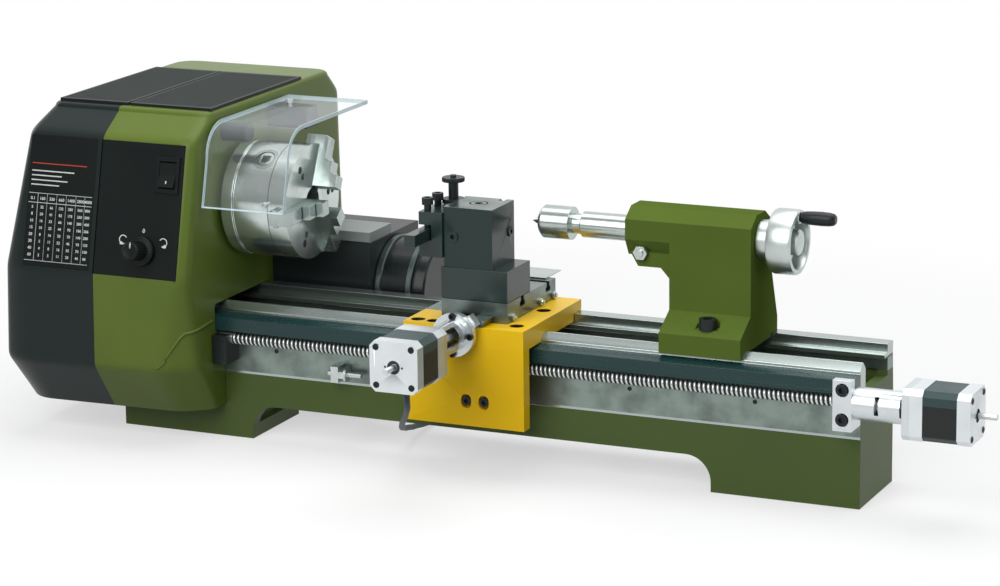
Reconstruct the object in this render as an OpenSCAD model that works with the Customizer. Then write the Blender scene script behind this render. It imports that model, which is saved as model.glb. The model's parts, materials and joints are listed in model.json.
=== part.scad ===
// Small precision lathe with stepper motors on the leadscrew and on the cross slide.
// +X runs along the bed to the tailstock, +Y to the back, +Z up.
// The origin is the centre of the four bench bolts, in the plane of the feet.

/* [Bed] */
// Length of the bed casting
bed_length = 680; // [660:5:720]
// Width of the bed casting over its machined front face
bed_width = 86; // [84:1:90]
// Height of the tops of the ways above the bench
way_top = 121; // [120:0.5:124]
// Thickness of the bed's walls
bed_wall = 12; // [9:0.5:14]
// Length of each foot
foot_length = 128; // [110:1:140]
// Height of the arch between the feet
arch_height = 30; // [24:1:34]
// Radius in the corners of the arch
arch_radius = 22; // [10:1:23]
// Distance of the front way's ridge from the spindle axis, seen from above
ridge_y = 37.5; // [36:0.5:38.5]
// Height of the sloping flanks of the front way
flank_height = 6; // [4:0.5:7]
// How far the front way stands out past the casting
way_overhang = 15; // [12:0.5:16]
// Width of the flat rear way
rear_way_width = 14; // [10:0.5:15]
// Height of the lower edge of the machined strip
strip_low = 58; // [45:1:66]
// Distance between the bench bolts along the bed
bolt_pitch_x = 600; // [580:5:620]
// Distance between the bench bolts across the bed
bolt_pitch_y = 50; // [36:1:52]
// Diameter of the bench bolt holes
bolt_hole = 9; // [6:0.5:11]

/* [Headstock] */
// Height of the spindle axis above the tops of the ways
centre_height = 85; // [84:0.5:90]
// Place of the hood's right wall, from the bed's left end
hood_reach = 102; // [96:1:106]
// How far the belt cover reaches past the bed's left end
cover_reach = 80; // [70:1:90]
// Width of the green part of the hood's front
hood_front_width = 88; // [84:1:96]
// Thickness of the hood
hood_wall = 3; // [2.5:0.1:4]
// Height of the hood's flat top
hood_top = 289; // [284:1:296]
// Height of the hood's lower edge
hood_skirt = 29; // [20:1:29]
// Distance from the spindle axis to the front of the hood at its widest
hood_front = 117; // [114:1:122]
// Distance from the spindle axis to the back of the hood
hood_back = 197; // [180:1:205]
// Distance between the grooves of the vents
vent_pitch = 2.3; // [2.2:0.1:4]
// Width of the grooves of the vents
vent_slot = 1.1; // [0.8:0.1:1.4]
// Diameter of the selector knob's disc
knob_disc_d = 25; // [22:0.5:28]
// Diameter of the selector knob's grip
knob_grip_d = 17; // [12:0.5:20]
// Width of the rocker switch
switch_width = 22; // [20:0.5:25]
// Height of the rocker switch
switch_height = 31; // [27:0.5:34]

/* [Spindle and chuck] */
// Outer diameter of the spindle
spindle_d = 30; // [28:0.5:32]
// Bore of the spindle
spindle_bore = 20.5; // [16:0.5:21]
// Diameter of the chuck
chuck_d = 100; // [94:1:104]
// Length of the chuck with its backplate
chuck_length = 63; // [61:0.5:66]
// Thickness of the backplate
backplate_t = 11; // [9:0.5:12]
// Width of the chuck jaws
jaw_width = 12; // [10:0.5:13]
// Distance from the axis to the gripping faces of the jaws
jaw_opening = 12.5; // [10:0.5:16]
// Diameter of the round bearings' outer rings
bearing_d = 55; // [52:0.5:58]
// Width of the spindle bearings
bearing_w = 13; // [10:0.5:15]
// Diameter of the drive pulley on the spindle
pulley_d = 84; // [70:1:90]
// Diameter of the drive pulley on the motor shaft
small_pulley_d = 34; // [28:1:40]
// Diameter of the drive motor
motor_d = 92; // [84:1:96]
// Distance from the spindle axis back to the motor shaft
motor_y = 100; // [98:1:104]
// Height of the motor shaft
motor_z = 112; // [106:1:118]

/* [Guard] */
// Width of the clear chuck guard
guard_width = 78; // [70:1:82]
// Thickness of the clear chuck guard
guard_t = 3.5; // [3:0.5:5]
// Distance from the spindle axis to the guard's lower front edge
guard_front = 80; // [76:1:86]

/* [Carriage] */
// Place of the middle of the carriage along the bed
carriage_x = 7.5; // [4:0.5:12]
// Width of the saddle along the bed
saddle_width = 109; // [104:1:114]
// Distance from the spindle axis to the front of the saddle
saddle_front = 80; // [79:0.5:84]
// Thickness of the saddle above the ways
saddle_over_way = 9; // [8.5:0.5:11]
// Thickness of the apron
apron_t = 12; // [10:0.5:14]
// Height of the lower edge of the apron
apron_low = 45; // [38:1:52]
// Width of the cross slide along the bed
slide_width = 60; // [56:1:66]
// Length of the cross slide across the bed
slide_length = 101; // [97:1:104]
// Thickness of the cross slide
slide_t = 17; // [15:0.5:19]
// Width of the dovetail at its top
dovetail_width = 40; // [36:0.5:44]
// Height of the dovetail
dovetail_height = 6; // [4.5:0.5:7]

/* [Tool post] */
// Height of the riser block
riser_height = 27; // [24:0.5:30]
// Depth of the riser block across the bed
riser_depth = 48; // [46:0.5:52]
// Width of the tool post along the bed
post_width = 44; // [40:0.5:48]
// Depth of the tool post across the bed
post_depth = 45; // [42:0.5:46]
// Height of the tool post
post_height = 51; // [48:0.5:54]
// Width of the tool holder
holder_width = 21.5; // [21:0.5:25]
// Side of the square tool shank
tool_size = 10; // [8:0.5:11]

/* [Stepper motors] */
// Side of the square stepper motors
stepper_size = 42.3; // [40:0.1:44]
// Length of a stepper motor without its mounting plate
stepper_length = 50; // [44:0.5:54]
// Diameter of the stepper motors' shafts
stepper_shaft_d = 5; // [4:0.1:6]
// Diameter of the tubes that carry the stepper motors
tube_d = 26.5; // [24:0.5:28]
// Length of the tube on the leadscrew
tube_length = 50; // [46:1:56]
// Length of the tube on the saddle
cross_tube_length = 75; // [68:1:80]

/* [Leadscrew] */
// Diameter of the leadscrew
leadscrew_d = 10; // [9:0.5:11]
// Lead of the leadscrew's thread
leadscrew_lead = 4; // [3:0.5:5]
// Height of the leadscrew's axis
leadscrew_z = 92; // [90:0.5:92]
// Distance of the leadscrew from the bed's machined face
leadscrew_out = 11; // [10.5:0.5:12.5]
// Diameter of the cross slide's screw
cross_screw_d = 8; // [6:0.5:8]

/* [Tailstock] */
// Place of the right face of the tailstock's body along the bed
tailstock_x = 239.5; // [230:0.5:255]
// Length of the tailstock's body
tail_body_length = 110; // [104:1:116]
// Length of the tailstock's base
tail_base_length = 71; // [66:1:78]
// Diameter of the quill
quill_d = 22; // [20:0.5:24]
// How far the quill stands out of the body
quill_out = 46; // [44:0.5:50]
// Diameter of the live centre's body
centre_d = 28; // [24:0.5:28]
// Diameter of the handwheel
wheel_d = 54; // [50:1:60]
// Distance of the crank handle from the handwheel's axis
crank_radius = 21; // [18:0.5:22]
// Diameter of the crank handle
crank_d = 11; // [9:0.5:13]

/* [Cable] */
// Diameter of the motor cable
cable_d = 5; // [4.5:0.1:6]
// Turns of each layer of the coiled rest of the cable
coil_turns = 2; // [1:1:3]

/* [Hidden] */
$fn = 64;
// Running clearance on the radius between shafts and bores
fit = 0.04;
// Gap between parts that pass each other
gap = 0.3;
// Small step that takes a cut clear through a surface
cut = 0.5;

axis_z = way_top + centre_height;
bed_x = bed_length / 2;
bed_y = bed_width / 2;
// Height of the casting's walls, where the ways lie
wall_top = way_top - 22.5;
rib_t = 9;
ribs = 6;
paint_step = 0.6;
rear_way_y = bed_y - 2 - rear_way_width;
ledge_z = way_top - flank_height - 2.5;

// Points of the front way's section, as y and z
front_way_points = [[-bed_y, wall_top], [-bed_y - way_overhang, wall_top],
    [-bed_y - way_overhang, ledge_z - 2], [-ridge_y - flank_height, ledge_z],
    [-ridge_y - flank_height, way_top - flank_height], [-ridge_y, way_top],
    [-ridge_y + 1, way_top], [-ridge_y + 7, way_top - flank_height],
    [-ridge_y + 7, wall_top]];
rear_way_points = [[rear_way_y, way_top], [rear_way_y, ledge_z + 1], [rear_way_y - 8, ledge_z + 1],
    [rear_way_y - 8, ledge_z - 3], [rear_way_y + rear_way_width, ledge_z - 3],
    [rear_way_y + rear_way_width, way_top]];

hood_right = -bed_x + hood_reach;
hood_split = hood_right - hood_front_width;
hood_left = -bed_x - cover_reach;
// Heights of the hood's edges, from the skirt to the top
hood_belt_z = hood_skirt + 43;
hood_knee_z = hood_skirt + 123;
hood_brow_z = hood_top - 21;
hood_knee = hood_front - 5;
hood_brow = hood_front - 31;
hood_crown = hood_front - 64;
// Depth of the belt cover and of the vents
cover_back = 122;
vent_back = 116;
panel_lean = atan2(hood_knee - hood_brow, hood_brow_z - hood_knee_z);
panel_height = norm([hood_knee - hood_brow, hood_brow_z - hood_knee_z]);
knob_x = hood_right - 41.5;
knob_up = 24;
switch_x = hood_right - 22;
switch_up = panel_height - 28.9;

chuck_rear = hood_right + 4;
chuck_face = chuck_rear + chuck_length;
spindle_left = hood_left + 50;
pulley_x = spindle_left + 4;
pulley_w = 26;
casting_left = hood_split + 6;
casting_right = hood_right - 8;
slot_depth = 13;
scroll_t = 8;
scroll_x = chuck_face - slot_depth - gap - scroll_t;
pinion_d = 16;
pinion_x = scroll_x - gap - pinion_d / 2;

housing_right = hood_right + 97;
housing_front = bed_y + 6;

carriage_left = carriage_x - saddle_width / 2;
saddle_top = way_top + saddle_over_way;
saddle_seam = saddle_top - 17;
saddle_back = bed_y;
cross_x = carriage_x - 3;
cross_z = way_top + cross_screw_d / 2 + gap;
slide_low = saddle_top + gap;
slide_top = slide_low + slide_t;
slide_front = -saddle_front + 19;
riser_top = slide_top + riser_height;
post_top = riser_top + post_height;
slide_left = carriage_x + 2 - slide_width / 2;
post_left = slide_left + 2.5;
post_front = slide_front + 1;
post_back = post_front + post_depth;
holder_x = post_left - holder_width;
tool_top = axis_z;
tool_x = holder_x + tool_size / 2 + 0.2;

leadscrew_y = -bed_y - leadscrew_out;
leadscrew_left = hood_right + 14;
block_t = 16;
block_low = leadscrew_z - 21.5;
block_front = leadscrew_y - 12;
block_left = bed_x - block_t;
plate_t = 6;
corner_cut = 4.6;
tube_bore = 18;
motor_x = bed_x + tube_length;
cross_motor_y = -saddle_front - cross_tube_length;

tail_left = tailstock_x - tail_body_length;
tail_top = axis_z + 22;
tail_base_left = tailstock_x - tail_base_length;
quill_left = tail_left - quill_out;
quill_length = 92;
centre_neck = 8;
centre_length = 28;
wheel_x = tailstock_x + 12;
wheel_w = 22;

// Cylinder along X from x0 to x1
module xcyl(x0, x1, r) {
    translate([x0, 0, 0]) rotate([0, 90, 0]) cylinder(h = x1 - x0, r = r);
}

// Cylinder along Y from y0 to y1
module ycyl(y0, y1, r) {
    translate([0, y0, 0]) rotate([-90, 0, 0]) cylinder(h = y1 - y0, r = r);
}

// A section in y and z, drawn out along X from x0 to x1
module along_x(x0, x1) {
    translate([x0, 0, 0]) rotate([90, 0, 90]) linear_extrude(height = x1 - x0) children();
}

// A box from its lowest to its highest corner
module box(low, high) {
    translate(low) cube(high - low);
}

// Hexagonal socket, cut along -Z from the origin
module socket(across, depth) {
    translate([0, 0, -depth]) cylinder(h = depth + cut, r = across / sqrt(3), $fn = 6);
}

// Socket head screw with its head's top at the origin and its shank along -Z
module cap_screw(d, shank) {
    difference() {
        translate([0, 0, -d]) cylinder(h = d, d = d * 1.6);
        socket(d * 0.8, d * 0.5);
    }
    translate([0, 0, -d - shank]) cylinder(h = shank + 0.01, d = d);
}

// Square plate with cut corners, centred, from z0 to z1
module cut_plate(side, z0, z1) {
    translate([0, 0, z0]) linear_extrude(height = z1 - z0) intersection() {
        square(side, center = true);
        rotate(45) square(side * sqrt(2) - corner_cut * sqrt(2), center = true);
    }
}

// Side view of the bed: the feet and the arch between them
module bed_side() {
    arch = bed_length - 2 * foot_length;
    difference() {
        translate([-bed_x, 0]) square([bed_length, way_top]);
        translate([-arch / 2, -cut]) square([arch, arch_height - arch_radius + cut]);
        translate([-arch / 2 + arch_radius, -cut])
            square([arch - 2 * arch_radius, arch_height + cut]);
        for (s = [-1, 1])
            translate([s * (arch / 2 - arch_radius), arch_height - arch_radius])
                circle(r = arch_radius);
    }
}

// Cross section of the bed, as y and z
module bed_section() {
    polygon([[-bed_y + paint_step, 0], [-bed_y + paint_step, strip_low], [-bed_y, strip_low],
        [-bed_y, wall_top], [-ridge_y + 7, wall_top], [-ridge_y + 7, wall_top - 4],
        [rear_way_y, wall_top - 4], [rear_way_y, ledge_z - 3], [bed_y - 2, ledge_z - 3],
        [bed_y, 78], [bed_y, 0]]);
}

module bed() {
    pocket = (bed_length - rib_t * (ribs + 1)) / ribs;
    color("#44552b") difference() {
        intersection() {
            along_x(-bed_x, bed_x) bed_section();
            translate([0, bed_y + 1, 0]) rotate([90, 0, 0])
                linear_extrude(height = bed_width + 2) bed_side();
        }
        for (i = [0:ribs - 1])
            box([-bed_x + rib_t + i * (pocket + rib_t), -bed_y + bed_wall, bed_wall],
                [-bed_x + (i + 1) * (pocket + rib_t), bed_y - bed_wall, wall_top + cut]);
        for (sx = [-1, 1], sy = [-1, 1])
            translate([sx * bolt_pitch_x / 2, sy * bolt_pitch_y / 2, -cut])
                cylinder(h = bed_wall + 2 * cut, d = bolt_hole);
        block_holes(block_screw_d + 0.04);
    }
}

module ways() {
    color("#aab4b2") difference() {
        union() {
            along_x(-bed_x, bed_x) polygon(front_way_points);
            along_x(-bed_x, bed_x) polygon(rear_way_points);
        }
        block_holes(block_screw_d + 0.04);
    }
}

// Casting that holds the spindle bearings and sits on both ways
module head_casting() {
    foot = way_top - flank_height;
    color("#6d7576") difference() {
        along_x(casting_left, casting_right) union() {
            translate([0, axis_z]) circle(d = bearing_d + 34);
            polygon([[-bed_y - 6, foot], [-bed_y - 6, foot + 14], [-38, axis_z], [38, axis_z],
                [bed_y - 1, foot + 14], [bed_y - 1, way_top], [rear_way_y - 2, way_top],
                [rear_way_y - 2, foot + 3], [-24, foot + 3], [-24, foot]]);
        }
        along_x(casting_left - 1, casting_right + 1) polygon([[-ridge_y - flank_height, foot - 1],
            [-ridge_y - flank_height, foot], [-ridge_y, way_top], [-ridge_y + 1, way_top],
            [-ridge_y + 7, foot], [-ridge_y + 7, foot - 1]]);
        translate([0, 0, axis_z]) {
            xcyl(casting_left - 1, casting_right + 1, spindle_d / 2 + 6);
            xcyl(casting_left - 1, casting_left + bearing_w, bearing_d / 2 + 0.02);
            xcyl(casting_right - bearing_w, casting_right + 1, bearing_d / 2 + 0.02);
        }
    }
}

module spindle_bearings() {
    color("#b9bfc2") for (x = [casting_left, casting_right - bearing_w])
        translate([0, 0, axis_z]) difference() {
            xcyl(x, x + bearing_w, bearing_d / 2);
            xcyl(x - 1, x + bearing_w + 1, spindle_d / 2 + fit);
        }
}

// One level of the hood's outline, drawn in by t, with its right front corner cut over a length nose
module hood_level(z, left, front_left, front, front_right, nose, back, t) {
    near = -front + t;
    translate([0, 0, z]) linear_extrude(height = 0.01) polygon([
        [left + t, -front_left + t], [left + 20 + t, near], [hood_split, near],
        [hood_right - nose - t, near + (nose - 8) * 0.3], [hood_right - t, -front_right + t],
        [hood_right - t, back - t], [left + t, back - t]]);
}

// The whole outer form of the headstock's housing, drawn in by t
module hood_form(t) {
    hull() {
        hood_level(hood_skirt - t, hood_left, hood_front - 51, hood_front - 31, hood_front - 54,
            24, hood_back, t);
        hood_level(hood_belt_z, hood_left, hood_front - 8, hood_front, hood_front - 25,
            24, hood_back, t);
        hood_level(hood_knee_z, hood_left, hood_knee - 7, hood_knee, hood_knee - 9, 8,
            hood_back, t);
        hood_level(hood_brow_z, hood_left + 18, hood_brow, hood_brow, hood_brow - 5, 8,
            hood_back - 4, t);
        hood_level(hood_top - 0.01 - t, hood_left + 28, hood_crown, hood_crown, hood_crown - 3,
            8, hood_back - 27, t);
    }
}

// Thin housing, open at the bottom, with the openings under the vents
module hood_shell() {
    difference() {
        hood_form(0);
        hood_form(hood_wall);
        for (x = vent_edges) box([x[0] + 3, -hood_crown + 5, hood_top - 9],
            [x[1] - 3, vent_back - 3, hood_top + 1]);
    }
}

vent_edges = [[hood_left + 31, hood_split + 5], [hood_split + 7, hood_right - 2]];

// Room that the belt cover fills at the left end of the housing
module cover_room() {
    box([hood_left - 1, -hood_front - 1, hood_skirt - 5], [hood_split, cover_back, hood_top + 1]);
}

// Frame on the leaning front: x along the bed, y up the slope and z outwards
module on_slope(x, up) {
    translate([0, -hood_knee, hood_knee_z]) rotate([90 - panel_lean, 0, 0])
        translate([x, up, 0]) children();
}

module panel_plate(x0, x1, low, high, deep, out) {
    on_slope(0, 0) box([x0, low, -deep], [x1, high, out]);
}

module hood() {
    color("#4f6428") translate([0, guard_pin_y, guard_pin_z])
        xcyl(hood_right - 1, guard_left + 34, 3);
    color("#4f6428") difference() {
        hood_shell();
        cover_room();
        panel_plate(hood_split - 1, hood_right - 7.8, 0.8, panel_height - 2.8, 1.7, 2);
        on_slope(knob_x, knob_up) translate([0, 0, -9]) cylinder(h = 12, d = 7);
        panel_plate(switch_x - switch_width / 2 + 1, switch_x + switch_width / 2 - 1,
            switch_up - switch_height / 2 + 1, switch_up + switch_height / 2 - 1, 9, 3);
        translate([0, 0, axis_z]) xcyl(hood_right - 9, hood_right + 1, spindle_d / 2 + 17);
        translate([0, motor_y, motor_z]) xcyl(hood_right - 9, hood_right + 1, 16);
        box([hood_right - 9, -bed_y - gap, hood_skirt - 5], [hood_right + 1, bed_y + gap, wall_top]);
        box([hood_right - 9, -bed_y - way_overhang - gap, wall_top - gap],
            [hood_right + 1, bed_y + gap, way_top + gap]);
    }
}

module belt_cover() {
    color("#24332f") difference() {
        intersection() {
            hood_shell();
            cover_room();
        }
        panel_plate(plate_left - 0.2, plate_right + 0.2, 2.8, panel_height - 2.8, 1.7, 2);
        translate([0, 0, axis_z]) xcyl(hood_left - 30, hood_left + 40, spindle_bore / 2 + 1.75);
    }
}

plate_left = hood_split - 71;
plate_right = hood_split - 5;

// Two ribbed grilles on the flat top
module vents() {
    color("#2f3d38") for (x = vent_edges) difference() {
        box([x[0], -hood_crown + 2, hood_top], [x[1], vent_back, hood_top + 2.5]);
        for (s = [x[0] + 3:vent_pitch:x[1] - 3 - vent_slot])
            box([s, -hood_crown + 6, hood_top - 1], [s + vent_slot, vent_back - 4, hood_top + 3]);
    }
}

// Black panel with the raised frame and the case of the switch
module control_panel() {
    color("#1b1d20") difference() {
        union() {
            panel_plate(hood_split + gap, hood_right - 8, 1, panel_height - 3, 1.6, 0);
            panel_plate(switch_x - switch_width / 2, switch_x + switch_width / 2,
                switch_up - switch_height / 2, switch_up + switch_height / 2, 1, 2);
            panel_plate(switch_x - switch_width / 2 + 1.2, switch_x + switch_width / 2 - 1.2,
                switch_up - switch_height / 2 + 1.2, switch_up + switch_height / 2 - 1.2, 16, 1);
        }
        on_slope(knob_x, knob_up) translate([0, 0, -5]) cylinder(h = 10, d = 7);
        panel_plate(switch_x - switch_width / 2 + 3, switch_x + switch_width / 2 - 3,
            switch_up - switch_height / 2 + 4, switch_up + switch_height / 2 - 4, 14, 3);
        on_slope(switch_x, switch_up) translate([0, 0, -3])
            xcyl(-switch_width / 2 + 2, switch_width / 2 - 2, 1 + fit);
    }
}

module speed_plate() {
    color("#1d2523") panel_plate(plate_left, plate_right, 3, panel_height - 3, 1.6, 0);
}

// Rocker that tips about a pin across the switch
module rocker() {
    reach = switch_height / 2 - 4 - 2 * gap;
    color("#23262a") on_slope(switch_x, switch_up) {
        rotate([90, 0, 90]) translate([0, 0, -switch_width / 2 + 3 + gap])
            linear_extrude(height = switch_width - 6 - 2 * gap)
            polygon([[-reach + 0.6, -4.5], [-reach + 0.4, 4.6], [0, 1.6], [reach - 0.4, 1.8],
                [reach - 0.6, -4.5], [0, -9]]);
        translate([0, 0, -3]) xcyl(-switch_width / 2 + 2.3, switch_width / 2 - 2.3, 1);
    }
}

module selector_knob() {
    color("#1f2124") on_slope(knob_x, knob_up) difference() {
        union() {
            translate([0, 0, gap]) cylinder(h = 5, d = knob_disc_d);
            translate([0, 0, 5]) cylinder(h = 17, d = knob_grip_d);
            translate([0, 0, -9]) cylinder(h = 10, d = 6);
            for (a = [0:30:330]) rotate(a) translate([knob_grip_d / 2, 0, 6])
                cylinder(h = 14, r = 0.8, $fn = 16);
        }
        translate([-0.6, 3, 20.5]) cube([1.2, knob_grip_d, 2]);
    }
}

// Grooved pulley, as radius and place along its axis
module pulley(d, bore) {
    rotate([0, 90, 0]) difference() {
        cylinder(h = pulley_w, r = d / 2);
        translate([0, 0, 3]) difference() {
            cylinder(h = pulley_w - 6, r = d / 2 + 1);
            translate([0, 0, -1]) cylinder(h = pulley_w, r = d / 2 - 3);
        }
        translate([0, 0, -1]) cylinder(h = pulley_w + 2, r = bore);
    }
}

// Hollow spindle with its pulley and the flange for the chuck
module spindle() {
    color("#c3c8ca") {
        translate([0, 0, axis_z]) difference() {
            union() {
                xcyl(spindle_left, chuck_rear + backplate_t - 2, spindle_d / 2);
                xcyl(hood_right - 6, chuck_rear, spindle_d / 2 + 12);
            }
            xcyl(spindle_left - 1, chuck_face, spindle_bore / 2);
        }
        translate([pulley_x, 0, axis_z]) pulley(pulley_d, spindle_d / 2 - 0.1);
    }
}

// Flat belt round both pulleys
module drive_belt() {
    color("#1a1a1a") along_x(pulley_x + 4, pulley_x + pulley_w - 4) difference() {
        hull() belt_circles(2.4);
        hull() belt_circles(0);
    }
}

module belt_circles(t) {
    translate([0, axis_z]) circle(r = pulley_d / 2 - 3 + gap + t);
    translate([motor_y, motor_z]) circle(r = small_pulley_d / 2 - 3 + gap + t);
}

module motor_shaft() {
    color("#9aa0a3") translate([0, motor_y, motor_z]) {
        xcyl(pulley_x - 2, housing_right + 40, 6);
        translate([pulley_x, 0, 0]) pulley(small_pulley_d, 5.9);
    }
}

// Box behind the bed that carries the drive motor
module drive_housing() {
    color("#191c1e") difference() {
        box([hood_right, housing_front, motor_z - 46], [housing_right, motor_y + 48, axis_z - 45]);
        box([hood_right - 1, housing_front + 4, motor_z - 42],
            [housing_right - 5, motor_y + 44, axis_z - 49]);
        translate([0, motor_y, motor_z]) xcyl(housing_right - 7, housing_right + 1, 6 + fit);
    }
}

module housing_lid() {
    color("#8d9793") difference() {
        box([hood_right, housing_front, axis_z - 45], [housing_right, housing_front + 43, axis_z - 36]);
        translate([housing_right - 64, housing_front + 30, axis_z - 40]) cylinder(h = 5, d = 7);
    }
}

module drive_motor() {
    r = motor_d / 2;
    color("#22333a") translate([0, motor_y, motor_z]) difference() {
        union() {
            xcyl(housing_right, housing_right + 6, r);
            xcyl(housing_right + 6, housing_right + 30, r - 2);
            xcyl(housing_right + 30, housing_right + 35, r);
            xcyl(housing_right + 35, housing_right + 46, r - 5);
        }
        xcyl(housing_right - 1, housing_right + 41, 6 + fit);
    }
}

module backplate() {
    color("#b4babd") translate([0, 0, axis_z]) difference() {
        union() {
            xcyl(chuck_rear, chuck_rear + backplate_t, chuck_d / 2);
            xcyl(chuck_rear + backplate_t, chuck_rear + backplate_t + 2, chuck_d / 2 - 1.5);
        }
        xcyl(chuck_rear - 1, chuck_rear + backplate_t + 3, spindle_d / 2 + 0.02);
    }
}

// One T-shaped jaw slot, drawn out along +Z from the axis
module jaw_slot(extra) {
    box([chuck_face - slot_depth - extra, -jaw_width / 2 - extra, 0],
        [chuck_face + 1, jaw_width / 2 + extra, chuck_d]);
    box([chuck_face - 9 - extra, -jaw_width / 2 - 2 - extra, 0],
        [chuck_face - 5 + extra, jaw_width / 2 + 2 + extra, chuck_d]);
}

module chuck_body() {
    start = chuck_rear + backplate_t + 2;
    color("#c9cfd2") translate([0, 0, axis_z]) difference() {
        xcyl(start, chuck_face, chuck_d / 2);
        xcyl(start - 1, chuck_face + 1, 12);
        difference() {
            xcyl(start + 4, scroll_x + scroll_t + gap, 41);
            xcyl(start, chuck_face, 18);
        }
        for (a = [0, 120, 240]) rotate([jaw_turn + a, 0, 0]) jaw_slot(0.1);
        rotate([pinion_angle, 0, 0]) translate([pinion_x, 0, 30])
            cylinder(h = 40, r = pinion_d / 2 + fit);
        for (a = [0, 120, 240]) rotate([jaw_turn + 60 + a, 0, 0]) translate([0, 0, 30])
            xcyl(chuck_face - 6, chuck_face + 1, 3);
    }
}

// Turn of the first jaw about the axis, from straight up towards the front
jaw_turn = -25;
pinion_angle = jaw_turn + 60;

module scroll() {
    color("#a5abae") translate([0, 0, axis_z]) difference() {
        xcyl(scroll_x, scroll_x + scroll_t, 40.7);
        xcyl(scroll_x - 1, scroll_x + scroll_t + 1, 18 + gap);
    }
}

// Stepped jaw with the ribs that run in the slot
module jaw(a) {
    r = jaw_opening;
    color("#bfc6c9") translate([0, 0, axis_z]) rotate([jaw_turn + a, 0, 0]) {
        translate([0, jaw_width / 2, 0]) rotate([90, 0, 0]) linear_extrude(height = jaw_width)
            polygon([[chuck_face - slot_depth, r], [chuck_face + 22, r], [chuck_face + 22, r + 11],
                [chuck_face + 14, r + 11], [chuck_face + 14, r + 12.2], [chuck_face + 15.2, r + 12.2],
                [chuck_face + 15.2, r + 23], [chuck_face + 7, r + 23], [chuck_face + 7, r + 24.2],
                [chuck_face + 8.2, r + 24.2], [chuck_face + 8.2, r + 43.5], [chuck_face + 5, r + 45.5],
                [chuck_face - slot_depth, r + 45.5]]);
        box([chuck_face - 9, -jaw_width / 2 - 2, r + 0.5],
            [chuck_face - 5, jaw_width / 2 + 2, r + 45]);
    }
}

module jaw_1() {
    jaw(0);
}

module jaw_2() {
    jaw(120);
}

module jaw_3() {
    jaw(240);
}

module pinion() {
    color("#8f979b") translate([0, 0, axis_z]) rotate([pinion_angle, 0, 0])
        translate([pinion_x, 0, 0]) difference() {
            translate([0, 0, 36]) cylinder(h = chuck_d / 2 - 37, r = pinion_d / 2);
            translate([-4, -4, chuck_d / 2 - 9]) cube([8, 8, 12]);
        }
}

guard_left = hood_right + 2;
guard_z = axis_z + chuck_d / 2 + 25;
guard_bend = 40;
guard_pin_y = 57;
guard_pin_z = guard_z - guard_t - 9;

// Bent sheet over the chuck: front panel, round bend and top plate
module guard() {
    r = 30;
    color([0.85, 0.93, 0.95, 0.6]) difference() {
        union() {
            along_x(guard_left, guard_left + guard_width) {
                polygon([[-guard_front, axis_z + 5], [-guard_front + guard_t, axis_z + 5],
                    [-guard_bend - r + guard_t, guard_z - r], [-guard_bend - r, guard_z - r]]);
                translate([-guard_bend, guard_z - guard_t]) square([guard_bend + guard_pin_y + 27, guard_t]);
                translate([-guard_bend, guard_z - r]) intersection() {
                    difference() {
                        circle(r = r);
                        circle(r = r - guard_t);
                    }
                    translate([-r - 1, 0]) square([r + 1, r + 1]);
                }
            }
        }
        translate([guard_left + 20, guard_pin_y - 8, guard_z - 10]) cylinder(h = 20, d = 4.2);
        translate([guard_left + guard_width - 17, -guard_front - 2, axis_z + 12])
            rotate([-90, 0, 0]) cylinder(h = 14, d = 4.2);
    }
}

// Dark block under the top plate that turns on the pin in the headstock's wall
module guard_block() {
    color("#2a3a42") difference() {
        box([guard_left, guard_pin_y - 13, guard_pin_z - 9],
            [guard_left + 38, guard_pin_y + 9, guard_z - guard_t]);
        translate([0, guard_pin_y, guard_pin_z]) xcyl(guard_left - 1, guard_left + 35, 3 + fit);
        translate([guard_left + 20, guard_pin_y - 8, guard_z - 14]) cylinder(h = 12, d = 3.04);
    }
}

// Round post on the headstock's wall that the closed guard rests on
module guard_rest() {
    r = 8.5;
    color("#2a3a42") translate([0, -guard_bend + 9, guard_z - guard_t - 0.1 - r])
        xcyl(hood_right, hood_right + 24, r);
}

module guard_screws() {
    color("#202326") {
        translate([guard_left + 20, guard_pin_y - 8, guard_z + 3]) cap_screw(3, 11);
        translate([guard_left + guard_width - 17, -guard_front - 2.4, axis_z + 12])
            rotate([90, 0, 0]) cap_screw(3, 7);
    }
}

// Underside of the saddle over both ways, as y and z
saddle_points = [[-saddle_front, saddle_seam], [-saddle_front, saddle_top],
    [saddle_back, saddle_top], [saddle_back, way_top + 0.1], [rear_way_y - 1, way_top + 0.1],
    [rear_way_y - 1, ledge_z + 1.6], [-ridge_y + 12, ledge_z + 1.6],
    [-ridge_y + 7.4, way_top - flank_height], [-ridge_y + 1, way_top + 0.1],
    [-ridge_y, way_top + 0.1], [-ridge_y - flank_height - 0.2, way_top - flank_height],
    [-ridge_y - flank_height - 0.2, ledge_z + 0.6], [-bed_y - way_overhang - 3, ledge_z + 0.6],
    [-bed_y - way_overhang - 3, saddle_seam]];

// Dovetail between the saddle and the cross slide, as x and z about its middle
function dovetail(e) = [[-dovetail_width / 2 + 3 - e, 0], [-dovetail_width / 2 - e, dovetail_height],
    [dovetail_width / 2 + e, dovetail_height], [dovetail_width / 2 - 3 + e, 0]];

module along_y(y0, y1) {
    translate([0, y1, 0]) rotate([90, 0, 0]) linear_extrude(height = y1 - y0) children();
}

channel = 18;

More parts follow.
